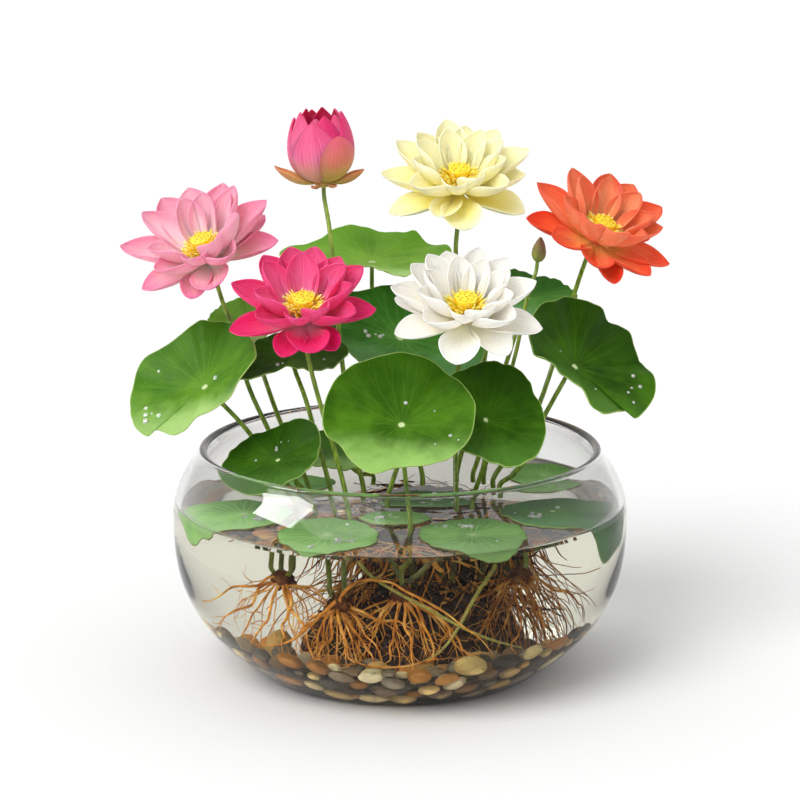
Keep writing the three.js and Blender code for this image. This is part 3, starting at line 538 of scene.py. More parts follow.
def pebble_paint():
    """River pebbles, each of its own stone: cream, tan, orange-brown, grey or charcoal."""
    paint = Paint("river_pebble", IOR=IOR_IN_WATER)
    stone = paint.ramp(
        paint.number("tone"), (0.0, (0.04, 0.035, 0.028)), (0.16, (0.12, 0.1, 0.075)),
        (0.3, (0.34, 0.28, 0.19)),
        (0.44, (0.24, 0.12, 0.045)), (0.58, (0.6, 0.23, 0.035)), (0.72, (0.6, 0.38, 0.12)),
        (0.86, (0.95, 0.7, 0.27)), (1.0, (1.0, 0.88, 0.56)),
    )
    blotch = paint.cloud(7, 5.0, roughness=0.65)
    speck = paint.cloud(1.3, 3.0)
    band = paint.stretched(paint.place(), (60, 60, 330))
    streak = paint.cloud(1, 4.0, band)
    skin = paint.mix(blotch.above(0.48, 0.72) * 0.45, stone, (0.14, 0.08, 0.035))
    skin = paint.mix(speck.above(0.55, 0.75) * 0.25, skin, (0.75, 0.58, 0.34))
    skin = paint.mix(streak.above(0.55, 0.7) * 0.25, skin, (0.06, 0.045, 0.035))
    paint.set(Base_Color=skin, Roughness=0.3 + blotch * 0.3, Normal=paint.bump(blotch + speck * 0.3, 0.5))
    return paint.material


def seed_paint():
    """Spongy yellow seed head."""
    paint = Paint("seed_head", Roughness=0.6, Subsurface_Weight=0.3, Subsurface_Scale=3 * MM)
    tone = paint.cloud(2.5, 3.0)
    skin = paint.ramp(tone, (0.3, (0.85, 0.58, 0.01)), (0.6, (0.97, 0.74, 0.03)), (0.8, (1.0, 0.84, 0.1)))
    paint.set(Base_Color=skin, Normal=paint.bump(tone, 0.4))
    return paint.material


def stamen_paint():
    """Yellow threads with a deeper anther and a lighter tip."""
    paint = Paint("stamen", Roughness=0.5, Subsurface_Weight=0.3, Subsurface_Scale=2 * MM)
    skin = paint.ramp(
        paint.number("along"), (0.0, (0.95, 0.66, 0.06)), (0.5, (1.0, 0.8, 0.1)), (0.65, (1.0, 0.64, 0.03)),
        (0.86, (1.0, 0.76, 0.05)), (0.96, (1.0, 0.88, 0.3)),
    )
    paint.set(Base_Color=skin, Normal=paint.bump(paint.cloud(0.8, 2.0), 0.1))
    return paint.material


def dot_paint():
    paint = Paint("seed_dot", Roughness=0.5)
    tone = paint.cloud(0.8, 2.0)
    skin = paint.ramp(tone, (0.3, (0.36, 0.2, 0.01)), (0.7, (0.6, 0.36, 0.02)))
    paint.set(Base_Color=skin, Normal=paint.bump(tone, 0.1))
    return paint.material


def floor_paint():
    paint = Paint("floor", Roughness=0.9)
    tone = paint.cloud(600, 2.0)
    paint.set(Base_Color=paint.ramp(tone, (0.0, (0.86, 0.86, 0.86)), (1.0, (0.88, 0.88, 0.88))))
    return paint.material


# Behind its wall the water is what bends the light, in two steps: into the wall, then into the water.
WALL_IOR = 1.2
WATER_IOR = 1.333
# A reflection tint below 1 greys the mirror image of the dry glass and the water's top: painted shade on
# their reflections.
CLEAR_GLASS = clear_paint("clear_glass", 1.5, (0.8, 0.8, 0.785), 0.4)
GLASS_BY_WATER = clear_paint("glass_by_water", WALL_IOR, (0.88, 0.88, 0.865))
WET_GLASS = clear_paint("wet_glass", 1.0)
CLEAR_WATER = clear_paint("pond_water", WATER_IOR, (0.97, 0.965, 0.92), 0.35)
WATER_SIDE = clear_paint("water_side", WATER_IOR / WALL_IOR, (0.78, 0.765, 0.65))
# Drops are part white diffuse: painted highlights for the small lights that they catch.
DEW = Paint("dew", Base_Color=(1, 1, 1), Roughness=0.02, IOR=1.4, Transmission_Weight=0.6).material
RIM = (0.36, 0.5, 0.14)
# Each leaf's dark and light green, its veins, and its bloom, which also paints light on the leaf's low side.
# The dark paint is a darker copy for the leaves that lie in shade: painted shade.
LEAF_COLOURS = {
    "light": ((0.035, 0.13, 0.004), (0.11, 0.27, 0.012), (0.2, 0.38, 0.06), (0.4, 0.62, 0.2)),
    "front": ((0.018, 0.07, 0.001), (0.075, 0.2, 0.008), (0.14, 0.3, 0.04), (0.34, 0.58, 0.15)),
    "bright": ((0.09, 0.25, 0.016), (0.22, 0.43, 0.05), (0.34, 0.53, 0.15), (0.38, 0.58, 0.22)),
    # A darker copy of the leaf paint for the leaves that lie in shade: painted shade.
    "dark": ((0.012, 0.05, 0.0005), (0.045, 0.14, 0.004), (0.12, 0.25, 0.03), (0.075, 0.19, 0.025)),
    "blue": ((0.025, 0.11, 0.01), (0.08, 0.24, 0.035), (0.2, 0.4, 0.14), (0.15, 0.36, 0.14)),
}
LEAF_PAINTS = {name: leaf_paint("leaf_" + name, *colours, RIM) for name, colours in LEAF_COLOURS.items()}
LEAF_UNDER = leaf_paint(
    "leaf_underside", (0.14, 0.28, 0.02), (0.26, 0.43, 0.04), (0.36, 0.52, 0.12), (0.26, 0.42, 0.08),
)
PAD_TOP = leaf_paint(
    "pad_top", (0.12, 0.32, 0.05), (0.3, 0.6, 0.16), (0.5, 0.72, 0.34), (0.36, 0.62, 0.24), (0.2, 0.14, 0.05),
    0.6,
)
STALK = stem_paint("stalk", (0.12, 0.2, 0.01), (0.3, 0.42, 0.04), (0.05, 0.075, 0.006))
SUNK_STALK = stem_paint("sunk_stalk", (0.05, 0.06, 0.01), (0.16, 0.17, 0.03), (0.04, 0.02, 0.006))
RUNNER = stem_paint("runner", (0.36, 0.33, 0.06), (0.55, 0.5, 0.12), (0.3, 0.18, 0.04), 0)
ROOT = root_paint("live_root", (0.42, 0.13, 0.018), (0.88, 0.36, 0.06), (1.0, 0.62, 0.18))
SHADED_ROOT = root_paint("shaded_root", (0.16, 0.05, 0.01), (0.5, 0.19, 0.04), (0.85, 0.44, 0.12))
KNUCKLE = root_paint("root_knuckle", (0.06, 0.016, 0.006), (0.14, 0.045, 0.015), (0.28, 0.11, 0.035))
OLD_ROOT = root_paint("old_root", (0.018, 0.01, 0.006), (0.06, 0.028, 0.012), (0.15, 0.07, 0.028))
SOIL = soil_paint()
GRAVEL = gravel_paint()
PEBBLE = pebble_paint()
SEED_HEAD = seed_paint()
STAMEN = stamen_paint()
SEED_DOT = dot_paint()


# ---- Bowl and water ----


def bowl_radius(z):
    if z <= WIDEST_AT:
        belly = 1 - ((WIDEST_AT - z) / WIDEST_AT) ** BELLY_POWER
        return FOOT_RADIUS + (WIDEST_RADIUS - FOOT_RADIUS) * belly
    return WIDEST_RADIUS - RIM_DROP * ((z - WIDEST_AT) / (BOWL_HEIGHT - LIP_RADIUS - WIDEST_AT)) ** 2


def inner_radius(z):
    slope = (bowl_radius(z + 0.1) - bowl_radius(z - 0.1)) / 0.2
    return bowl_radius(z) - WALL * math.hypot(1, slope)


def spaced(low, high, count):
    return [low + (high - low) * i / (count - 1) for i in range(count)]


def shared_out(piece, slot):
    """Gives each face the material slot that slot(radius, height) says, in millimetres."""
    for face in piece.data.polygons:
        radius, height = math.hypot(face.center.x, face.center.y) / MM, face.center.z / MM
        face.material_index = slot(radius, height)


def floor_profile():
    """The inside of the foot, from its middle to the cove under the wall."""
    cove = [inner_radius(BOWL_FLOOR + COVE) - COVE_WIDTH, BOWL_FLOOR + FOOT_EDGE]
    return [[0, BOWL_FLOOR], [50, BOWL_FLOOR], cove]


def make_bowl():
    """The glass, clear all over, but with its own paints where the water lies behind it."""
    lip_middle = BOWL_HEIGHT - LIP_RADIUS
    outside = [[bowl_radius(z), z] for z in spaced(*OUTSIDE)]
    lip = [
        [RIM_RADIUS + LIP_RADIUS * math.cos(turn), lip_middle + LIP_RADIUS * math.sin(turn)]
        for turn in map(math.radians, range(0, 180 + LIP_STEP + 1, LIP_STEP))
    ]
    dry = [[inner_radius(z), z] for z in spaced(DRY_TOP, WATER_LEVEL + MENISCUS, DRY_RINGS)]
    wet = [[inner_radius(z), z] for z in spaced(WATER_LEVEL, BOWL_FLOOR + COVE, WET_RINGS)]
    foot = [[0, 0.0], [60, 0.0], [FOOT_RADIUS - 3, 0.0], [FOOT_RADIUS, FOOT_EDGE]]
    bowl = turned("bowl_glass", foot + outside + lip + dry + wet + floor_profile()[::-1])
    keep(bowl, "clear_glass", "glass_bowl", materials=[CLEAR_GLASS, GLASS_BY_WATER, WET_GLASS])
    clear, by_water, wetted = range(3)

    def zone(radius, height):
        if not FOOT_EDGE < height < WATER_LEVEL:
            return clear
        if radius > bowl_radius(height) - 0.6 * WALL:
            return by_water
        return wetted if height > BOWL_FLOOR - 1 else clear

    shared_out(bowl, zone)


def make_water():
    """The water reaches a little way into the wall, so no film of air is left between them."""
    foot = [[radius, height - WATER_SINK] for radius, height in floor_profile()]
    wall = [[inner_radius(z) + WATER_SINK, z] for z in spaced(BOWL_FLOOR + COVE, WATER_LEVEL, WET_RINGS)]
    edge = inner_radius(WATER_LEVEL)
    rise = [(edge + WATER_SINK, MENISCUS), (edge - 0.5, 0.5), (edge - 2.2, 0.1)]
    top = [[radius, WATER_LEVEL] for radius in (edge - 5, edge * 0.5, 0)]
    meniscus = [[radius, WATER_LEVEL + height] for radius, height in rise]
    water = turned("still_water", foot + wall + meniscus + top)
    keep(water, "pond_water", "water", materials=[CLEAR_WATER, WATER_SIDE])
    surface, side = range(2)

    def zone(radius, height):
        return side if height < WATER_LEVEL - 0.5 or radius > edge + 0.5 * WATER_SINK else surface

    shared_out(water, zone)


# ---- Pebbles and soil ----


def bank_height(angle):
    """The bed is banked up at the front and sides, and falls away at the back."""
    behind = max(0, math.sin(angle))
    return BANK_TOP + BANK_MORE_AT_SIDES * math.cos(angle) ** 2 - BANK_LESS_BEHIND * behind ** 2


def bed_top(x, y):
    """The height of the pebbles there."""
    radius, angle = math.hypot(x, y), math.atan2(y, x)
    if radius < BED_FLAT_RADIUS:
        return BED_FLAT_TOP
    rise = bank_height(angle) - BED_FLAT_TOP
    return BED_FLAT_TOP + rise * min(1, (radius - BED_FLAT_RADIUS) / BED_BANK)


PILED_PEBBLES = 90  # in front and at the sides
PEBBLE_TRIES = 14000  # for the rest, from the largest to the smallest
PEBBLE_ROOM = 0.86  # how near two pebbles may lie, as a share of the sum of their mean half sizes
FINE_BEFORE = -60  # the y, in front of which the pebbles are finer meshes
GRAVEL_LOW = 7.4


def pebble_model(name, detail):
    bpy.ops.mesh.primitive_ico_sphere_add(subdivisions=detail, radius=1)
    pebble = added(name)
    move_points(pebble, lambda p: p * (1 + 0.14 * noise.noise(p * 1.2) + 0.03 * noise.noise(p * 4)))
    return smooth(pebble)


# x, y, height and half sizes of the stones that stand out, with their turn and tone.
NOTABLE_PEBBLES = [
    (-17, -117, 33, 9, 7, 6, 0.1, 0.97), (12, -118, 33, 8, 7, 6.3, -0.3, 0.6),
    (43, -109, 38, 11, 8, 7.5, 0.3, 0.84), (65, -99, 38, 11, 7, 5.5, 0.5, 0.05),
    (-4, -117, 27, 8, 6, 5, 0.3, 0.25), (29, -113, 29, 8, 6, 5, 0.4, 0.62),
    (-36, -113, 30, 8.5, 6, 4.5, 0.0, 0.34), (-50, -110, 36, 8, 7, 5.5, 0.2, 0.5),
    (-67, -101, 38, 9, 7, 6, -0.4, 0.52), (81, -90, 41, 7, 6, 5.5, 0.8, 0.9),
    (103, -54, 44, 9, 7, 6, 1.0, 0.06), (95, -68, 42, 10, 5.5, 5, 0.9, 0.6),
    (109, -40, 44, 9, 6, 5.5, 1.2, 0.2), (-104, -52, 44, 9, 7, 6, -1.0, 0.4),
    (-92, -72, 42, 9, 6.5, 5.5, -0.8, 0.34), (-33, -111, 22, 9, 6, 4.5, 0.2, 0.36),
    (18, -108, 20, 7, 6, 5, 0.0, 0.8),
]


def make_pebbles():
    """Pebbles packed under the surface of the bed and against the glass, larger ones first."""
    dice = random.Random(31)
    fine, plain = pebble_model("pebble_fine", 3), pebble_model("pebble_plain", 2)
    laid, pieces = [], []
    spots = [(Vector((x, y, z)), (a, b, c), turn, tone) for x, y, z, a, b, c, turn, tone in NOTABLE_PEBBLES]
    for _ in range(PILED_PEBBLES):
        angle, reach = dice.uniform(math.pi * 0.9, math.pi * 2.08), dice.uniform(58, 99)
        z = dice.uniform(33, 38) + 4 * math.cos(angle) ** 2
        half = (dice.uniform(6.5, 9), dice.uniform(5.5, 7.5), dice.uniform(4.5, 6))
        centre = Vector((reach * math.cos(angle), reach * math.sin(angle), z))
        spots.append((centre, half, dice.uniform(0, math.tau), dice.uniform(0, 0.75)))
    for attempt in range(PEBBLE_TRIES):
        size = 9.6 - 5 * attempt / PEBBLE_TRIES + dice.uniform(-1, 1)
        angle = dice.uniform(0, math.tau)
        near_glass = dice.random() < 0.6
        height = dice.uniform(12, 46) if near_glass else BED_FLAT_TOP
        reach = inner_radius(height) - size * 0.85 if near_glass else dice.uniform(45, 114)
        x, y = reach * math.cos(angle), reach * math.sin(angle)
        ceiling = bed_top(x, y) - size * 0.4
        if near_glass and height > ceiling:
            continue
        z = height if near_glass else ceiling + dice.uniform(-3, 1)
        half = (size * dice.uniform(1.0, 1.3), size * dice.uniform(0.78, 1.0), size * dice.uniform(0.58, 0.8))
        spots.append((Vector((x, y, z)), half, dice.uniform(0, math.tau), dice.random()))
    for centre, half, turn, tone in spots:
        mean = sum(half) / 3
        if any((centre - other).length < PEBBLE_ROOM * (mean + wide) for other, wide in laid):
            continue
        laid.append((centre, mean))
        tilt = Euler((dice.uniform(-0.35, 0.35), dice.uniform(-0.35, 0.35), turn))
        model = fine if centre.y < FINE_BEFORE else plain
        pebble = copied(model, "pebble", Matrix.LocRotScale(centre * MM, tilt, Vector(half) * MM))
        set_number(pebble, "tone", tone)
        pieces.append(pebble)
    for model in (fine, plain):
        bpy.data.objects.remove(model)
    keep(joined(pieces, "pebbles"), "river_pebble", "pebble_bed", materials=[PEBBLE])
    filler = cad_copy("pebble_bed", "gravel_under_pebbles", 0)
    move_points(filler, lambda p: Vector((p.x * 0.93, p.y * 0.93, max(p.z - 6.5 * MM, GRAVEL_LOW * MM))))
    keep(smooth(filler), "river_pebble", materials=[GRAVEL])


def cad_copy(node, name, levels):
    """A copy of a CAD solid with its loose triangles merged, then rounded off."""
    piece = bpy.data.objects.new(name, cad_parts[node].data.copy())
    bpy.context.scene.collection.objects.link(piece)
    piece.data.materials.clear()
    edit(piece)
    bpy.ops.mesh.remove_doubles(threshold=MERGE_WITHIN)
    bpy.ops.mesh.tris_convert_to_quads()
    leave_edit()
    if levels:
        modified(piece, "SUBSURF", levels=levels, render_levels=levels)
    return piece


def roughened(piece, size, depth):
    """Moves each point along its normal by noise of that size and depth, in millimetres."""
    normals = [vertex.normal.copy() for vertex in piece.data.vertices]
    for vertex, normal in zip(piece.data.vertices, normals):
        lump = noise.fractal(vertex.co / (size * MM), 0.6, 2.0, 4)
        vertex.co += normal * lump * depth * MM
    return piece


def make_soil():
    mound = cad_copy("soil", "soil_mound", 4)
    roughened(roughened(mound, 14, 5), 4, 1.8)
    move_points(mound, lambda p: Vector((p.x * 0.76 if p.x > 0 else p.x, p.y, p.z)))
    keep(smooth(mound), "pond_soil", "soil", materials=[SOIL])


# ---- Roots ----


def wander(dice, start, heading, length, thick, thin, steps, bend, sink=0.0):
    """A thread that strays from its heading and may sink, as (point, radius) pairs in millimetres."""
    point, heading = Vector(start), Vector(heading).normalized()
    line = [(point.copy(), thick)]
    for step in range(1, steps + 1):
        heading += Vector([dice.gauss(0, bend) for _ in range(3)])
        heading.z -= sink
        heading.normalize()
        point = point + heading * (length / steps)
        line.append((point.copy(), thick + (thin - thick) * step / steps))
    return line


def strayed(dice, amount):
    """A small step in any direction."""
    return Vector([dice.gauss(0, amount) for _ in range(3)])


def along(line, share):
    """Point, heading and radius at that share of a thread."""
    place = share * (len(line) - 1)
    i = min(int(place), len(line) - 2)
    (a, ra), (b, rb) = line[i], line[i + 1]
    return a.lerp(b, place - i), (b - a).normalized(), ra + (rb - ra) * (place - i)


def above_bed(line):
    """Lifts the points of a thread that would go into the pebbles, and keeps them inside the glass."""
    held = []
    for point, radius in line:
        z = max(point.z, bed_top(point.x, point.y) + 2)
        reach = math.hypot(point.x, point.y)
        limit = inner_radius(min(max(z, 12), 112)) - 3
        pull = min(1, limit / reach) if reach else 1
        held.append((Vector((point.x * pull, point.y * pull, z)), radius))
    return held


CROWNS = {
    "left_root_crown": ((-63, -48, 79), [
        [(-82, -58, 66), (-102, -63, 57), (-116, -60, 50)], [(-74, -66, 60), (-84, -79, 49), (-92, -86, 42)],
        [(-64, -68, 60), (-67, -84, 50), (-70, -94, 41)], [(-56, -68, 62), (-51, -84, 50), (-47, -94, 42)],
        [(-80, -52, 76), (-104, -58, 70), (-122, -56, 62)],
    ]),
    "left_middle_root_crown": ((-33, -65, 68), [
        [(-40, -80, 54), (-46, -92, 46), (-54, -100, 40)], [(-32, -82, 54), (-30, -94, 46), (-28, -104, 40)],
        [(-24, -78, 54), (-17, -88, 46), (-13, -98, 40)],
        [(-22, -78, 85), (4, -86, 80), (36, -95, 64), (54, -99, 46)],
        [(-18, -74, 64), (-4, -80, 62), (10, -84, 58)],
    ]),
    "centre_root_crown": ((2, -69, 75), [
        [(-4, -84, 60), (-6, -97, 50), (-8, -108, 41)], [(4, -86, 60), (6, -98, 50), (7, -108, 41)],
        [(14, -86, 62), (19, -99, 50), (22, -108, 42)], [(22, -80, 62), (36, -90, 50), (46, -99, 42)],
    ]),
    "right_root_crown": ((66, -58, 83), [
        [(50, -66, 78), (33, -72, 60), (20, -84, 46), (2, -92, 39)],
        [(67, -76, 66), (70, -88, 54), (70, -96, 44)], [(78, -72, 66), (86, -80, 55), (92, -88, 46)],
        [(86, -60, 74), (102, -60, 64), (110, -58, 52)],
    ]),
}


KNUCKLE_RADIUS = 6.4
FAN_ROOTS = 17
HAIRS_PER_ROOT = 5


def make_crown(name, seed):
    """A small dark knuckle, thick roots, and threads that fan out and hang down to the pebbles."""
    (x, y, z), mains = CROWNS[name]
    dice = random.Random(seed)
    bpy.ops.mesh.primitive_uv_sphere_add(
        segments=24, ring_count=14, radius=KNUCKLE_RADIUS * MM, location=(0, 0, 0),
    )
    knuckle = added("knuckle")
    move_points(knuckle, lambda p: Vector((p.x, p.y, p.z * 0.78)) + Vector((x, y, z)) * MM)
    roughened(knuckle, 4, 2.6)
    lines, hairs = [], []
    for path in mains:
        points = [Vector((x, y, z))]
        for p in path:
            points += [points[-1].lerp(Vector(p), 0.5) + strayed(dice, 2.2), Vector(p) + strayed(dice, 1.0)]
        lines.append([(p, 1.05 - 0.75 * i / (len(points) - 1)) for i, p in enumerate(points)])
    for i in range(FAN_ROOTS):
        if i % 6:
            turn = math.radians(180 + 180 * (i + dice.uniform(0, 1)) / FAN_ROOTS)
        else:
            turn = dice.uniform(0, math.pi)
        heading = (math.cos(turn), math.sin(turn) * 0.8, dice.uniform(-0.9, 0.0))
        start = Vector((x, y, z - 2)) + outwards(turn) * 4
        length, thick = dice.uniform(24, 62), dice.uniform(0.35, 0.75)
        lines.append(above_bed(wander(dice, start, heading, length, thick, 0.18, 9, 0.2, 0.15)))
    for line in lines:
        for _ in range(HAIRS_PER_ROOT):
            start, heading, thick = along(line, dice.uniform(0.3, 0.98))
            stray = heading + strayed(dice, 0.6)
            hair = wander(dice, start, stray, dice.uniform(6, 20), min(0.3, thick * 0.7), 0.12, 5, 0.3, 0.08)
            hairs.append(above_bed(hair))
    roots = threads("roots", [above_bed(line) for line in lines], 2, 3)
    fine = threads("fine_roots", hairs, 0)
    root = SHADED_ROOT if x > 30 else ROOT
    painted([smooth(knuckle)], KNUCKLE)
    painted([roots, fine], root)
    keep(joined([knuckle, roots, fine], name.replace("crown", "tuft")), "lotus_root", name)


# Long runners: a paint, then points with their thickness. The first crosses in front of the tangle.
RUNNERS = [
    (
        RUNNER,
        [
            (-28, -62, 96, 1.0), (-10, -78, 84, 0.95), (18, -90, 70, 0.9), (46, -92, 56, 0.75),
            (71, -84, 46, 0.6),
        ],
    ),
    (
        RUNNER,
        [(52, -62, 90, 1.15), (42, -78, 76, 1.1), (34, -86, 62, 0.9), (24, -92, 49, 0.8), (12, -98, 42, 0.6)],
    ),
    (SUNK_STALK, [(2, -66, 82, 1.7), (-4, -64, 92, 1.6), (-10, -60, 106, 1.5)]),
    (SUNK_STALK, [(4, -66, 82, 1.6), (14, -66, 90, 1.5), (28, -62, 104, 1.4)]),
    (ROOT, [(20, -96, 44, 0.9), (2, -104, 40, 0.8), (-18, -104, 40, 0.7), (-30, -96, 44, 0.5)]),
    (ROOT, [(-34, -68, 72, 1.1), (-50, -80, 60, 0.9), (-66, -88, 50, 0.7), (-80, -86, 46, 0.4)]),
]


def make_runners():
    for paint, points in RUNNERS:
        line = [((x, y, z), thick) for x, y, z, thick in points]
        keep(threads("runner", [line], 3, 6), "stem", materials=[paint])


TANGLE_THREADS = 420
SURFACE_THREADS = 90
SUNK_STALKS = 11
HANGING_ROOTS = 230
HANGING_SECTORS = ((-45, 20), (20, 90), (90, 160), (155, 220))  # degrees, the sides and the back


def make_root_mat():
    """The dark tangle between the soil and the surface: a rough core, sunk stalks, rhizomes and threads."""
    dice = random.Random(5)
    core = cad_copy("root_mat", "root_core", 4)
    middle = MAT_MIDDLE * MM

    def drawn_in(p):
        share = 0.78 + 0.1 * noise.noise(p / (18 * MM))
        return Vector((middle.x + (p.x - middle.x) * share, p.y * share, min(p.z, 112.6 * MM)))

    move_points(core, drawn_in)
    roughened(core, 7, 5)
    move_points(core, lambda p: Vector((p.x, p.y, min(p.z, 113.2 * MM))))
    dark, warm, sunk = [], [], []
    for i in range(TANGLE_THREADS):
        turn = dice.uniform(0, math.tau)
        level = dice.uniform(64, 112)
        reach = dice.uniform(38, 48) * (1 - 0.3 * ((113 - level) / 49) ** 0.8)
        start = Vector((MAT_MIDDLE.x + reach * math.cos(turn), reach * math.sin(turn), level))
        heading = Vector((-math.sin(turn), math.cos(turn), 0)) * dice.choice((-1, 1)) * dice.uniform(0.1, 1)
        heading += outwards(turn) * dice.uniform(-0.1, 0.25) + UP * dice.uniform(-1.0, 0.5)
        thick = dice.uniform(0.35, 0.9) if i % 14 else dice.uniform(1.6, 2.4)
        line = wander(dice, start, heading, dice.uniform(18, 46), thick, thick * 0.4, 6, 0.2)
        line = [(Vector((p.x, p.y, min(p.z, UNDER_SURFACE))), r) for p, r in above_bed(line)]
        (warm if i % 2 == 0 else dark).append(line)
    for _ in range(SURFACE_THREADS):
        start = Vector((MAT_MIDDLE.x + dice.gauss(0, 24), dice.gauss(-12, 24), 112.6))
        turn = dice.uniform(0, math.tau)
        line = wander(
            dice, start, (math.cos(turn), math.sin(turn), 0.0), dice.uniform(12, 34), 0.8, 0.35, 5, 0.35,
        )
        dark.append([(Vector((p.x, p.y, min(max(p.z, 110), 113.9))), r) for p, r in line])
    for i in range(SUNK_STALKS):
        out = outwards(math.radians(186 + 168 * i / (SUNK_STALKS - 1)))
        top = Vector((MAT_MIDDLE.x, 0, 113.5)) + out * dice.uniform(44, 50)
        low = Vector((MAT_MIDDLE.x, 0, dice.uniform(72, 80))) + out * dice.uniform(33, 38)
        low += Vector((dice.gauss(0, 5), 0, 0))
        sunk.append([(top, 1.8), (top.lerp(low, 0.4) + out * 2, 1.8), (low, 1.6)])
    hung = []
    for i in range(HANGING_ROOTS):
        turns = [dice.uniform(*sector) for sector in HANGING_SECTORS]
        out = outwards(math.radians(turns[i % len(turns)]))
        start = Vector((MAT_MIDDLE.x, 0, dice.uniform(60, 100))) + out * dice.uniform(34, 44)
        heading = out * dice.uniform(0.3, 1.0) - UP * dice.uniform(0.4, 1.2) + strayed(dice, 0.2)
        thick = dice.uniform(0.22, 0.6)
        line = wander(dice, start, heading, dice.uniform(30, 62), thick, thick * 0.4, 9, 0.16, 0.06)
        hung.append(above_bed(line))
    tangle = joined([smooth(core), threads("dark_threads", dark, 1)], "root_tangle")
    keep(tangle, "lotus_root", "root_mat", materials=[OLD_ROOT])
    keep(threads("tangle_threads", warm, 1), "lotus_root", materials=[ROOT])
    keep(threads("hanging_roots", hung, 1), "lotus_root", materials=[SHADED_ROOT])
    keep(threads("sunk_stalks", sunk, 3, 4), "stem", materials=[SUNK_STALK])


# ---- Leaves ----

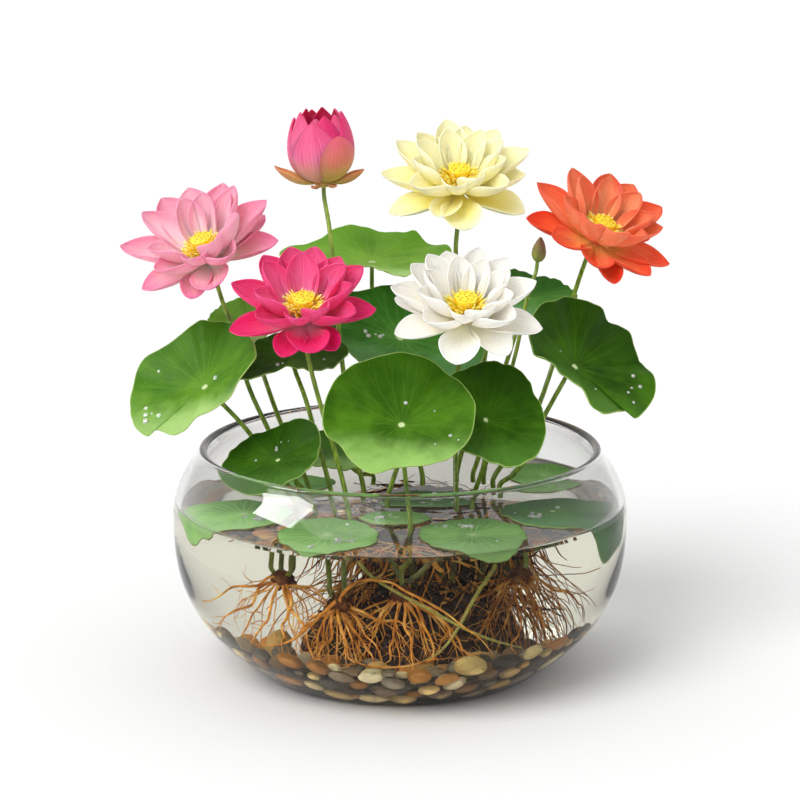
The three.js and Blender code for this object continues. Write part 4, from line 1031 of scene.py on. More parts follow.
# Each leaf has its middle, the way its upper side looks, and its rim in steps round from the right: across
# and up as seen from the camera, and the lift above the leaf's own plane. Its stalk's points run down to the
# foot. Its dew is how many drops, the radius of the largest, and the angle and share out of their group.
LEAVES = {
    "left_leaf": {
        "at": (-125, -30, 195), "facing": (-0.5, -0.53, 0.69), "paint": "light",
        "rim": [
            (51, 25, 10), (37, 7, 8), (26, -12, 7), (12, -22, 5), (-5, -29, 4), (-17, -43, 6), (-32, -47, 5),
            (-50, -43, -1), (-58, -49, 1), (-70, -41, 5), (-77, -27, 4), (-79, -14, -1), (-75, 10, 7),
            (-67, 27, 9), (-50, 39, 9), (-34, 48, 7), (-23, 58, 9), (-10, 67, 7), (4, 67, 4), (18, 66, 0),
            (31, 62, 4), (46, 50, 8), (52, 39, 9),
        ],
        "stem": [(-113, -20, 180), (-97, -15, 160), (-67, -19, 114)], "foot": (-69, -46, 82.8),
        "dew": (8, 1.9, 212, 0.8),
    },
    "back_left_leaf": {
        "at": (-104, 54, 222), "facing": (-0.12, -0.38, 0.92), "paint": "bright",
        "rim": [
            (32, 3, 4), (27, -13, 5), (10, -22, 4), (-10, -22, 3), (-28, -14, 4), (-37, -1, 3), (-33, 8, 5),
            (-23, 17, 3), (-7, 23, 4), (6, 19, 1), (21, 15, 4),
        ],
        "stem": [(-94, 30, 200), (-80, 4, 168), (-56, -19, 114)], "foot": (-57, -45, 82.8),
    },
    "shaded_leaf": {
        "at": (-69, -6, 213), "facing": (0.06, -0.36, 0.93), "paint": "dark",
        "rim": [
            (55, 2, 3), (49, -9, 5), (37, -17, 5), (21, -19, 4), (6, -17, 2), (-5, -15, -1), (-19, -21, 2),
            (-36, -26, 3), (-51, -28, 2), (-54, -13, 2), (-46, 2, 2), (-32, 14, 3), (-9, 20, 2), (16, 20, 3),
            (41, 14, 2),
        ],
        "stem": [(-61, -20, 185), (-54, -24, 160), (-42, -32, 114)], "foot": (-38, -61, 73.8),
        "dew": (4, 1.4, 207, 0.6),
    },
    "top_leaf": {
        "at": (-19, 90, 256), "facing": (0.02, -0.26, 0.966), "paint": "bright",
        "rim": [
            (80, 9, 7), (72, -3, 7), (57, -11, 8), (40, -15, 8), (29, -17, 8), (17, -14, 8), (4, -8, 9),
            (-9, -7, 9), (-26, -9, 9), (-47, -10, 8), (-76, -5, 5), (-93, 6, 2), (-85, 16, 3), (-67, 18, 2),
            (-51, 27, 3), (-34, 37, 7), (-16, 40, 8), (2, 34, 3), (28, 32, 6), (44, 32, 7), (58, 19, 2),
            (75, 17, 5),
        ],
        "stem": [(-18, 80, 225), (-6, 62, 180), (10, 34, 140)], "foot": (15, 25, 113.9),
    },
    "middle_leaf": {
        "at": (0, 36, 214), "facing": (0.03, -0.42, 0.9), "paint": "blue",
        "rim": [
            (83, 6, 5), (84, -14, 4), (76, -29, 6), (55, -40, 6), (25, -45, 7), (-5, -43, 7), (-32, -32, 5),
            (-47, -18, 2), (-60, -8, 3), (-73, 2, 5), (-88, 16, 7), (-92, 32, 8), (-78, 43, 6), (-57, 47, 4),
            (-40, 49, 6), (-20, 53, 8), (-2, 57, 6), (18, 57, 5), (42, 52, 6), (66, 33, 6),
        ],
        "stem": [(7, 22, 185), (2, -6, 150), (-6, -26, 128)], "foot": (-8, -28, 113.9),
        "dew": (9, 2.0, 185, 0.3),
    },
    "front_leaf": {
        "at": (1, -85, 183), "facing": (0.03, -0.62, 0.78), "paint": "front",
        "rim": [
            (74, 16, 7), (69, -10, 8), (56, -26, 7), (40, -35, 6), (20, -40, 5), (-2, -41, 3), (-23, -47, 7),
            (-37, -44, 6), (-52, -33, 4), (-60, -21, 0), (-75, -10, 5), (-79, 9, 7), (-73, 34, 8),
            (-61, 52, 9), (-42, 63, 10), (-21, 70, 10), (0, 73, 9), (18, 70, 9), (34, 62, 6), (46, 52, 1),
            (61, 41, 5), (71, 28, 7),
        ],
        "stem": [(3, -74, 150), (6.5, -82, 115), (4, -74, 94)], "foot": (1, -68, 80.8),
        "dew": (5, 1.5, 330, 0.68),
    },
    "right_front_leaf": {
        "at": (54, -58, 180), "facing": (0.1, -0.6, 0.79), "paint": "dark",
        "rim": [
            (60, -5, 3), (59, -16, 5), (51, -33, 7), (38, -42, 7), (24, -46, 6), (7, -43, 5), (-7, -36, 4),
            (-23, -31, 4), (-36, -19, 5), (-42, 1, 5), (-41, 25, 6), (-34, 45, 6), (-18, 51, 3), (-6, 57, 6),
            (8, 59, 8), (22, 56, 9), (35, 50, 9), (45, 39, 8), (49, 27, 4), (56, 15, 6),
        ],
        "stem": [(54, -46, 150), (48, -38, 128)], "foot": (46, -34, 113.9),
    },
    "right_leaf": {
        "at": (113, -10, 204), "facing": (0.5, -0.47, 0.72), "paint": "dark",
        "rim": [
            (83, -8, 8), (81, -31, 7), (62, -51, 5), (55, -45, 0), (46, -44, 2), (27, -47, 6), (17, -41, 4),
            (5, -22, 4), (-9, -12, 4), (-20, -2, 5), (-32, 8, 6), (-42, 12, 6), (-46, 24, 7), (-45, 44, 6),
            (-33, 63, 5), (-17, 68, 6), (-5, 72, 3), (17, 68, 8), (30, 62, 8), (40, 47, 3), (54, 41, 8),
            (63, 29, 9), (68, 10, 5), (73, 2, 2),
        ],
        "stem": [(106, -6, 193), (92, -2, 165), (76, 3, 130)], "foot": (66, 4, 113.9),
        "dew": (8, 1.7, 345, 0.72),
    },
    "back_right_leaf": {
        "at": (86, 62, 236), "facing": (0.15, -0.35, 0.92), "paint": "blue",
        "rim": [
            (50, 2, 3), (40, -12, 4), (17, -22, 4), (-8, -24, 4), (-23, -12, 4), (-27, 8, 4), (-22, 25, 4),
            (-11, 30, 5), (6, 24, 1), (20, 22, 4), (32, 19, 3), (43, 11, 1),
        ],
        "stem": [(78, 52, 215), (64, 44, 170), (52, 36, 130)], "foot": (49, 33, 113.9),
    },
    "low_left_leaf": {
        "at": (-78, -46, 151), "facing": (-0.42, -0.55, 0.72), "paint": "dark",
        "rim": [
            (42, 7, 4), (36, -4, 5), (29, -11, 5), (13, -21, 5), (-1, -28, 5), (-15, -34, 5), (-28, -34, 5),
            (-43, -29, 4), (-53, -21, 3), (-58, -9, 1), (-52, 3, 2), (-44, 12, 4), (-31, 22, 6),
            (-15, 28, 6), (1, 34, 7), (11, 39, 7), (22, 41, 6), (33, 39, 5), (40, 32, 3), (43, 20, 1),
        ],
        "stem": [(-62, -34, 128), (-54, -35, 114)], "foot": (-59, -53, 82.8), "dew": (5, 1.2, 120, 0.5),
    },
    "low_back_leaf": {
        "at": (-36, 40, 137), "facing": (0, -0.2, 0.98), "paint": "light",
        "rim": [
            (56, 2, 3), (48, -9, 4), (28, -16, 3), (4, -19, 4), (-20, -17, 3), (-44, -11, 4), (-56, -1, 2),
            (-49, 10, 4), (-26, 17, 2), (3, 19, 4), (30, 15, 2), (50, 9, 4),
        ],
        "stem": [(-28, 34, 122)], "foot": (-18, 26, 113.9),
    },
}
FLAT = 113.9  # a pad's middle, on the water
# Pads: middle, radii, phase, paint, and the way (degrees) and share that they spill over towards the glass.
PADS = {
    "floating_leaf_left": ((-100, -43, FLAT), (31, 35), 0.4, "pad", -155, 0.5),
    "floating_leaf_front_left": ((-45, -92, FLAT), (31, 38), 2.1, "pad", -80, 0.1),
    "floating_leaf_centre": ((-3, -53, FLAT + 0.6), (22, 19), 3.2, "pad", 0, 0),
    "floating_leaf_front_right": ((45, -93, FLAT), (33, 38), 5.2, "pad", -66, 0.16),
    "floating_leaf_right": ((98, -37, FLAT), (34, 35), 1.2, "blue", -24, 0.85),
    "floating_leaf_back_right": ((98, 58, FLAT), (24, 32), 2.8, "pad", 0, 0),
    "floating_leaf_middle": ((18, -4, FLAT + 0.6), (31, 16), 4, "blue", 0, 0),
    "floating_leaf_back_left": ((-76, 34, FLAT), (32, 25), 5.8, "pad", 0, 0),
}
RING_RADII = (1, 0.99, 0.965, 0.92, 0.86, 0.79, 0.71, 0.62, 0.52, 0.42, 0.32, 0.22, 0.13, 0.06, 0.02)


def disc_model():
    """A flat disc of radius 1 in rings, that each leaf is bent from."""
    bpy.ops.mesh.primitive_circle_add(vertices=96, radius=1, fill_type="NOTHING")
    disc = added("disc")
    edit(disc)
    for outer, inner in zip(RING_RADII, RING_RADII[1:]):
        bpy.ops.mesh.extrude_edges_move()
        bpy.ops.transform.resize(value=(inner / outer, inner / outer, 1))
    bpy.ops.mesh.merge(type="CENTER")
    bpy.ops.mesh.select_all(action="SELECT")
    bpy.ops.mesh.normals_make_consistent(inside=False)
    leave_edit()
    if disc.data.polygons[0].normal.z < 0:
        disc.data.flip_normals()
    flat = disc.data.uv_layers[0] if disc.data.uv_layers else disc.data.uv_layers.new(name="UVMap")
    for loop in disc.data.loops:
        co = disc.data.vertices[loop.vertex_index].co
        flat.data[loop.index].uv = (co.x / 2 + 0.5, co.y / 2 + 0.5)
    return disc


def seen_rim(leaf):
    """The rim's points from the leaf's middle, in millimetres, each on its line of sight at its own lift."""
    normal = Vector(leaf["facing"]).normalized()
    distance = (Vector(leaf["at"]) - EYE).dot(SIGHT)
    points = []
    for across, up, lift in leaf["rim"]:
        point = Vector((across, 0, 0)) + SIGHT_UP * up
        point *= distance / LENS_UNITS
        point += SIGHT * ((lift - point.dot(normal)) / SIGHT.dot(normal))
        points.append(point)
    return points


def smooth_round(points, turn):
    """The place on a closed smooth curve through the points at a share of a turn."""
    place = turn * len(points)
    i = math.floor(place)
    t = place - i
    a, b, c, d = (points[(i + k) % len(points)] for k in (-1, 0, 1, 2))
    square, cube = 2 * a - 5 * b + 4 * c - d, 3 * b - a - 3 * c + d
    return 0.5 * (2 * b + (c - a) * t + square * t * t + cube * t ** 3)


def leaf_surface(leaf, phase):
    """A function from the unit disc to the middle of the leaf's thickness, in metres."""
    normal, middle, rim = Vector(leaf["facing"]).normalized(), Vector(leaf["at"]), seen_rim(leaf)

    def surface(x, y):
        turn, reach = (-math.atan2(y, x) / math.tau) % 1, math.hypot(x, y)
        edge = smooth_round(rim, turn)
        lift = edge.dot(normal)
        flat = (edge - normal * lift) * reach
        angle = turn * math.tau
        height = lift * reach ** 1.6 - 0.9 * math.exp(-((reach / 0.12) ** 2))
        height += reach ** 4 * (0.5 * math.sin(11 * angle + phase) + 0.3 * math.sin(19 * angle + phase))
        height += reach * reach * 0.25 * math.cos(VEINS * angle)
        return (middle + flat + normal * height) * MM

    return surface


PAD_FROM_GLASS = 2.2
PAD_BEND = 6  # how far before and past the glass a pad bends down
DEW_OVAL = 0.62  # the height of a drop by its width
DEW_GROUP = (0.14, 0.07)  # the spread of a group of drops, round and out


def pad_surface(at, radii, phase, heading, spill):
    """A pad on the water. Where it comes to the glass, it bends down along it."""
    middle, heading = Vector(at), math.radians(heading)
    edge = inner_radius(WATER_LEVEL) - PAD_FROM_GLASS

    def surface(x, y):
        angle, reach = math.atan2(y, x), math.hypot(x, y)
        off = (angle - heading + math.pi) % math.tau - math.pi
        lobe = 1 + 0.035 * math.sin(3 * angle + phase) + 0.025 * math.sin(5 * angle - phase)
        lobe += 0.02 * math.sin(9 * angle + 3 * phase)
        lobe += 0.012 * math.sin(17 * angle + phase) + 0.006 * math.sin(37 * angle)
        lobe += spill * reach ** 2 * math.exp(-((off / 0.8) ** 2)) * (1 + 0.12 * math.sin(9 * angle + phase))
        height = 0.25 * reach ** 2 + 0.25 * reach ** 3 * math.sin(5 * angle + phase)
        height += 0.12 * reach ** 4 * math.sin(13 * angle)
        point = middle + Vector((x * radii[0] * lobe, y * radii[1] * lobe, height))
        out = math.hypot(point.x, point.y)
        over = out - edge
        if over > -PAD_BEND:
            level = point.z - (max(0, over + PAD_BEND) ** 2 / (4 * PAD_BEND) if over < PAD_BEND else over)
            pull = min(out, inner_radius(min(level, WATER_LEVEL)) - PAD_FROM_GLASS) / out
            point = Vector((point.x * pull, point.y * pull, level))
        return point * MM

    return surface


def dewdrops(surface, dice, count, size, group_at=None, group_out=0.5):
    """Drops that gather in a loose group on the leaf, at an angle in degrees where one is given."""
    drops = []
    group_turn = dice.uniform(0, math.tau) if group_at is None else math.radians(group_at)
    for i in range(count):
        if i % 4:
            angle, reach = group_turn + dice.gauss(0, DEW_GROUP[0]), group_out + dice.gauss(0, DEW_GROUP[1])
        else:
            angle, reach = dice.uniform(0, 6.3), dice.uniform(0.2, 0.85)
        reach = min(0.9, reach)
        x, y = reach * math.cos(angle), reach * math.sin(angle)
        centre = surface(x, y)
        normal = (surface(x + 0.02, y) - centre).cross(surface(x, y + 0.02) - centre).normalized()
        if normal.z < 0:
            normal.negate()
        radius = size * dice.uniform(0.35, 1.0)
        bpy.ops.mesh.primitive_uv_sphere_add(segments=14, ring_count=8, radius=radius * MM)
        drop = added("dewdrop")
        move_points(drop, lambda p: Vector((p.x, p.y, p.z * DEW_OVAL)))
        centre += normal * (0.25 + radius * 0.3) * MM
        drop.data.transform(Matrix.Translation(centre) @ towards(normal))
        drops.append(smooth(drop))
    return drops


LEAF_THICKNESS = 0.9
UNDERSIDE = 0.8  # how far below a leaf's middle its stalk ends
PAD_DEW = (14, 1.9)  # how many drops, and the radius of the largest
PAD_STALK = {
    "at": (98, -37, 113.6), "facing": (0, 0, 1), "foot": (69, -57, 88.8),
    "stem": [(90, -43, 107), (74, -55, 96)],
}


def make_leaf(disc, name, surface, top, drops):
    """A blade of even thickness over that surface, with its drops."""
    blade = copied(disc, name + "_blade")
    painted([blade], top, LEAF_UNDER)
    move_points(blade, lambda p: surface(p.x, p.y))
    if sum(face.normal.z for face in blade.data.polygons) < 0:
        blade.data.flip_normals()
    modified(blade, "SOLIDIFY", thickness=LEAF_THICKNESS * MM, offset=0, material_offset=1, use_rim=True)
    smooth(blade)
    if drops:
        beads = joined(dewdrops(surface, random.Random(name), *drops), name + "_dew")
        keep(beads, "pond_water", materials=[DEW])
    keep(blade, "leaf", name)


CROWN_NEAR = 14  # a stalk whose foot is this near to a crown starts inside it
SUNK_FULLNESS = 0.88  # how thick a stalk is in the water


def stalk_path(part, below):
    """From the foot up along the stem's points, and square on to the underside."""
    x, y, z = part["foot"]
    at, facing = Vector(part["at"]), Vector(part["facing"]).normalized()
    foot = Vector((x, y, z))
    crowns = [Vector(middle) for middle, _ in CROWNS.values()]
    inside = [crown.lerp(foot, 0.4) for crown in crowns if (foot - crown).length < CROWN_NEAR]
    stem = map(Vector, reversed(part["stem"]))
    return [*inside, foot + UP * 2, foot + UP * 8, *stem, at - facing * (below + 8), at - facing * below]


def make_stalk(name, part, below, radius=1.65, nodes=()):
    """A stalk that is thinner in the water, where the bowl makes it look thicker, and at its top."""
    path = stalk_path(part, below)
    top = len(path) - 1
    line = []
    for i, p in enumerate(path):
        fullness = SUNK_FULLNESS if p.z < WATER_LEVEL - 6 else 1.06 - 0.2 * i / top
        line.append((p, radius * fullness))
    keep(threads(name, [line], 4, 6), "stem", *nodes, materials=[STALK])


def make_leaves():
    disc = disc_model()
    for i, (name, leaf) in enumerate(LEAVES.items()):
        make_leaf(disc, name, leaf_surface(leaf, i * 1.7), LEAF_PAINTS[leaf["paint"]], leaf.get("dew"))
        if name.startswith("low_"):
            make_stalk(name + "_stalk", leaf, UNDERSIDE, 1.45)
        else:
            make_stalk(name + "_stalk", leaf, UNDERSIDE, nodes=[name + "_stem"])
    for name, (at, radii, phase, paint, heading, spill) in PADS.items():
        surface = pad_surface(at, radii, phase, heading, spill)
        make_leaf(disc, name, surface, LEAF_PAINTS.get(paint, PAD_TOP), PAD_DEW)
    make_stalk("floating_leaf_stalk", PAD_STALK, 0.5, 1.7)
    bpy.data.objects.remove(disc)


# ---- Flowers ----

PETAL_THICKNESS = 0.8
PETAL_FOOT = 3.5
PETAL_REACH = 0.96  # on the petals' lengths, less so behind
PETAL_REACH_BEHIND = 0.05
PETAL_FULLNESS = 1.1  # on the petals' widths
SEED_HEAD_FOOT = 2
SEED_HEAD_TOP = 15.5
SEED_HEAD_RADIUS = 7.2
STAMENS = 190
STAMEN_FOOT = (4.4, 4)  # out and up
STAMEN_REACH = (9.0, 9.4)
ANTHER = (0.55, 0.86)  # from and to, as shares of the stamen
HUB_RADIUS = 6


def thickened(blade, tone):
    """A petal's own thickness, round edges and tone for its flat blade."""
    modified(blade, "SOLIDIFY", thickness=PETAL_THICKNESS * MM, offset=0, material_offset=1, use_rim=True)
    modified(blade, "SUBSURF", levels=1, render_levels=1)
    set_number(blade, "tone", tone)
    return smooth(blade)


def hub(name, oval, tone):
    """The small round base that petals start from."""
    bpy.ops.mesh.primitive_uv_sphere_add(segments=24, ring_count=12, radius=HUB_RADIUS * MM)
    ball = added(name)
    move_points(ball, lambda p: Vector((p.x, p.y, p.z * oval)))
    set_number(ball, "tone", tone)
    return smooth(ball)


def petal(azimuth, elevation, length, width, lift, dice, cup, curl, tone=None):
    """A dished petal from the hub out, with its own length, width and rise. Millimetres and degrees."""
    bpy.ops.mesh.primitive_grid_add(x_subdivisions=9, y_subdivisions=15, size=2)
    blade = added("petal")
    rise, turn, curl = math.radians(elevation), math.radians(azimuth), math.radians(curl)
    lean, ruffle, shift = dice.uniform(-0.07, 0.07), dice.uniform(0.2, 0.8), dice.uniform(0, math.tau)
    crease, pinch = dice.uniform(0.4, 0.9), dice.uniform(-0.12, 0.12)
    facing_out = Matrix.Rotation(turn, 3, "Z")

    def place(p):
        reach = (p.y + 1) / 2
        fullness = math.sin(math.pi * reach ** 1.32) ** 0.62 if 0 < reach < 1 else 0.0
        fullness = max(fullness, 0.24 * (1 - reach) ** 2)
        x = p.x + pinch * (1 - p.x * p.x)
        side = x * fullness * width / 2
        tilt = rise + curl * (reach - 1) * 0.5
        out = PETAL_FOOT + length * reach * math.cos(tilt)
        high = lift + length * reach * math.sin(tilt)
        dished = cup * width * (x * fullness) ** 2 - 0.03 * width * fullness
        dished += ruffle * abs(x) ** 3 * math.sin(7 * reach + shift)
        dished -= crease * math.exp(-((x / 0.12) ** 2)) * fullness * (1 - reach * 0.5)
        side *= 1 - cup * 0.7 * x * x
        out -= dished * math.sin(rise)
        high += dished * math.cos(rise)
        side += lean * length * reach ** 2
        return facing_out @ Vector((out, side, high)) * MM

    move_points(blade, place)
    if blade.data.polygons[len(blade.data.polygons) // 2].normal.z < 0:
        blade.data.flip_normals()
    # Low petals get a higher tone, so a darker skin: partly their own deeper colour, partly painted shade.
    if tone is None:
        tone = min(1, max(0, 0.85 - elevation / 60 + dice.gauss(0, 0.1)))
    return thickened(blade, tone)


def stamen_model():
    """A thread that stands out from the seed head and ends in an anther."""
    bpy.ops.mesh.primitive_cylinder_add(vertices=6, radius=1, depth=1, end_fill_type="NGON")
    thread = added("stamen")
    edit(thread)
    for level in (-0.3, 0.0, 0.1, 0.16, 0.32, 0.42):
        bpy.ops.mesh.select_all(action="SELECT")
        bpy.ops.mesh.bisect(plane_co=(0, 0, level), plane_no=(0, 0, 1))
    leave_edit()
    set_number(thread, "along", [vertex.co.z + 0.5 for vertex in thread.data.vertices])

    def place(p):
        reach = p.z + 0.5
        thick = 0.4 if reach < ANTHER[0] else 0.72 if reach < ANTHER[1] else 0.5 if reach < 0.99 else 0.3
        out = STAMEN_FOOT[0] + STAMEN_REACH[0] * reach ** 1.15
        high = STAMEN_FOOT[1] + STAMEN_REACH[1] * reach ** 0.8
        return Vector((out + p.x * thick, p.y * thick, high - p.x * thick * 0.4)) * MM

    move_points(thread, place)
    return smooth(thread)


def seed_head(dice, stamen):
    """The flat-topped head with its seeds, inside its ring of stamens."""
    height = SEED_HEAD_TOP - SEED_HEAD_FOOT
    middle = (0, 0, (SEED_HEAD_FOOT + height / 2) * MM)
    bpy.ops.mesh.primitive_cylinder_add(
        vertices=40, radius=SEED_HEAD_RADIUS * MM, depth=height * MM, location=middle,
    )
    head = added("seed_head")
    bpy.ops.object.transform_apply(location=True)
    for face in head.data.polygons:
        face.select = face.normal.z > 0.9
    bpy.ops.object.mode_set(mode="EDIT")
    bpy.ops.mesh.inset(thickness=0.9 * MM)
    bpy.ops.transform.translate(value=(0, 0, 0.5 * MM))
    bpy.ops.mesh.inset(thickness=4.5 * MM)
    bpy.ops.transform.translate(value=(0, 0, 0.35 * MM))
    for level in (6, 9, 12):
        bpy.ops.mesh.select_all(action="SELECT")
        bpy.ops.mesh.bisect(plane_co=(0, 0, level * MM), plane_no=(0, 0, 1))
    leave_edit()

    def taper(p):
        share = min(1, max(0, (p.z / MM - SEED_HEAD_FOOT) / height))
        width = 0.55 + 0.45 * share ** 0.8
        return Vector((p.x * width, p.y * width, p.z))

    move_points(head, taper)
    modified(head, "BEVEL", width=0.4 * MM, segments=2, limit_method="ANGLE")
    dots = []
    spots = [(0.0, 0.0)]
    spots += [(2.7, i * math.tau / 4 + 0.4) for i in range(4)]
    spots += [(5.1, i * math.tau / 8) for i in range(8)]
    for reach, turn in spots:
        bpy.ops.mesh.primitive_uv_sphere_add(segments=12, ring_count=8, radius=0.75 * MM)
        dot = added("seed")
        centre = Vector((reach * math.cos(turn), reach * math.sin(turn), SEED_HEAD_TOP + 0.65)) * MM
        move_points(dot, lambda p: Vector((p.x, p.y, p.z * 0.6)) + centre)
        dots.append(smooth(dot))
    ring = []
    for i in range(STAMENS):
        size = dice.uniform(0.72, 1.06)
        tip = Matrix.Rotation(dice.gauss(0, 0.15), 4, "Y") @ Matrix.Rotation(dice.gauss(0, 0.1), 4, "X")
        turn = Matrix.Rotation(i * math.tau / STAMENS + dice.gauss(0, 0.05), 4, "Z")
        ring.append(copied(stamen, "stamen", turn @ tip @ Matrix.Scale(size, 4)))
    painted([head], SEED_HEAD)
    painted(dots, SEED_DOT)
    painted(ring, STAMEN)
    return smooth(joined([head, *dots, *ring], "seed_head"))


# Each flower's petals are [azimuth, elevation, length, width], the outermost first. Azimuth 270 is the front.
FLOWERS = {
    "pink": {
        "at": (-124, 3, 273), "facing": (-0.27, -0.37, 0.89), "foot": (-63, -41.5, 82.8),
        "stem": [
            (-115, 13, 240), (-108, 15, 222), (-100, 6, 190), (-86, -2, 160), (-64, -6, 115), (-63, -28, 96),
        ],
        "petals": [
            [202, 0, 46, 28], [250, -6, 38, 24], [276, 5, 44, 29], [357, 0, 46, 29], [150, 6, 50, 28],
            [30, 6, 48, 28], [90, 4, 46, 28], [170, 23, 57, 29], [122, 33, 57, 30], [92, 38, 54, 30],
            [62, 37, 53, 30], [20, 25, 53, 29], [228, 24, 42, 28], [305, 24, 41, 27], [150, 45, 52, 26],
            [40, 42, 50, 26], [78, 57, 44, 24], [112, 58, 43, 24], [340, 46, 42, 25], [205, 38, 41, 24],
            [262, 34, 33, 23], [300, 44, 36, 23],
        ],
    },
    "magenta": {
        "at": (-61, -41, 242), "facing": (0.0, -0.4, 0.91), "foot": (-30, -61, 73.8),
        "stem": [(-58, -38, 214), (-49, -36, 178), (-42, -40, 156), (-32, -50, 115)],
        "petals": [
            [196, 0, 47, 28], [252, -7, 37, 23], [276, 6, 43, 30], [305, -5, 36, 22], [5, 5, 45, 28],
            [60, 4, 44, 27], [120, 4, 44, 27], [168, 25, 50, 28], [130, 34, 50, 28], [104, 38, 50, 28],
            [76, 38, 50, 28], [50, 36, 47, 27], [30, 29, 50, 28], [225, 26, 40, 28], [322, 26, 42, 27],
            [150, 48, 43, 25], [92, 54, 43, 27], [35, 48, 43, 25], [200, 42, 39, 24], [350, 44, 40, 24],
            [262, 34, 32, 22], [300, 42, 34, 22],
        ],
    },
    "white": {
        "at": (41, -46, 243), "facing": (0.03, -0.4, 0.91), "foot": (36, -38, 113.9),
        "stem": [(39, -28, 218), (36, -14, 185), (36, -24, 142)],
        "petals": [
            [201, 0, 47, 28], [262, -8, 42, 29], [313, -8, 40, 27], [354, -2, 48, 30], [160, 6, 46, 27],
            [100, 4, 44, 27], [40, 6, 46, 27], [174, 25, 51, 28], [15, 28, 50, 28], [228, 24, 39, 28],
            [318, 26, 41, 28], [149, 35, 48, 28], [106, 38, 47, 28], [132, 45, 47, 26], [80, 48, 47, 27],
            [47, 43, 47, 27], [20, 50, 41, 24], [160, 50, 40, 24], [105, 58, 40, 23], [62, 56, 39, 23],
            [345, 42, 38, 24], [196, 40, 38, 24], [262, 38, 31, 22], [300, 40, 33, 23],
        ],
    },
    "yellow": {
        "at": (39, 43, 312), "facing": (0.0, -0.37, 0.93), "foot": (38, 33, 113.9),
        "stem": [(38, 45, 288), (38, 47, 262), (57, 47, 226), (56, 40, 196)],
        "petals": [
            [175, 12, 52, 27], [204, -9, 49, 27], [250, 2, 39, 22], [270, -6, 44, 30], [335, -8, 46, 29],
            [5, 13, 43, 27], [60, 6, 44, 27], [120, 6, 44, 27], [150, 25, 54, 28], [27, 22, 54, 28],
            [55, 33, 51, 28], [140, 42, 47, 26], [104, 40, 52, 28], [80, 42, 46, 26], [222, 24, 42, 28],
            [318, 24, 42, 28], [265, 34, 32, 24], [160, 48, 42, 24], [110, 56, 41, 24], [60, 52, 42, 24],
            [20, 46, 42, 24], [350, 42, 38, 24], [192, 40, 38, 24], [298, 40, 33, 23],
        ],
    },
    "orange": {
        "at": (127, 13, 283), "facing": (0.38, -0.35, 0.86), "foot": (62, 18, 113.9),
        "stem": [(121, 30, 264), (114, 44, 236), (104, 43, 200), (86, 28, 155)],
        "petals": [
            [188, 0, 48, 28], [268, 5, 38, 27], [294, -6, 40, 22], [357, 8, 49, 28], [228, 8, 43, 27],
            [325, 6, 44, 27], [100, 4, 42, 27], [40, 8, 44, 27], [165, 18, 53, 28], [133, 31, 52, 28],
            [97, 39, 50, 29], [73, 37, 51, 29], [38, 32, 52, 29], [8, 34, 43, 27], [200, 38, 41, 26],
            [150, 50, 43, 25], [105, 56, 43, 25], [55, 52, 43, 25], [10, 48, 40, 25], [325, 42, 37, 25],
            [238, 40, 37, 27], [282, 42, 36, 27],
        ],
    },
}
# Each flower's petals, inside and back: their base, light, dark, tip and veins. The dark colours and the
# darker backs are partly the petals' own colour and partly painted shade.
PETAL_COLOURS = {
    "pink": [
        ((1.0, 0.9, 0.76), (1.0, 0.76, 0.8), (0.94, 0.42, 0.47), (0.88, 0.16, 0.36), (0.86, 0.32, 0.46)),
        ((0.9, 0.56, 0.3), (1.0, 0.5, 0.58), (0.72, 0.26, 0.17), (0.86, 0.22, 0.36), (0.72, 0.24, 0.26)),
    ],
    "magenta": [
        ((0.97, 0.42, 0.55), (0.95, 0.2, 0.42), (0.76, 0.008, 0.11), (0.8, 0.012, 0.16), (0.62, 0.0, 0.11)),
        ((0.95, 0.42, 0.42), (0.96, 0.34, 0.48), (0.6, 0.02, 0.06), (0.85, 0.08, 0.24), (0.64, 0.02, 0.13)),
    ],
    "white": [
        ((0.99, 0.92, 0.62), (0.98, 0.96, 0.9), (0.97, 0.91, 0.78), (0.98, 0.96, 0.91), (0.9, 0.84, 0.7)),
        ((0.92, 0.86, 0.56), (0.96, 0.94, 0.88), (0.86, 0.76, 0.56), (0.95, 0.93, 0.87), (0.8, 0.72, 0.52)),
    ],
    "yellow": [
        ((1.0, 0.82, 0.14), (1.0, 0.97, 0.62), (0.99, 0.86, 0.26), (1.0, 0.97, 0.68), (0.95, 0.82, 0.3)),
        ((0.95, 0.76, 0.12), (0.98, 0.93, 0.56), (0.9, 0.74, 0.24), (0.97, 0.92, 0.56), (0.84, 0.7, 0.24)),
    ],
    "orange": [
        ((1.0, 0.5, 0.12), (1.0, 0.48, 0.24), (0.92, 0.1, 0.025), (0.76, 0.02, 0.015), (0.88, 0.14, 0.03)),
        ((1.0, 0.45, 0.06), (1.0, 0.42, 0.2), (0.85, 0.12, 0.04), (0.84, 0.08, 0.03), (0.9, 0.2, 0.06)),
    ],
}
PETAL_SIDES = ("_petal", "_petal_back")
PETAL_PAINTS = {
    colour: [petal_paint(colour + side, *colours) for side, colours in zip(PETAL_SIDES, both)]
    for colour, both in PETAL_COLOURS.items()
}


def set_down(piece, part):
    """Moves a flower or a bud from the origin to its place on its stalk."""
    piece.data.transform(Matrix.Translation(Vector(part["at"]) * MM) @ towards(part["facing"]))
    return piece


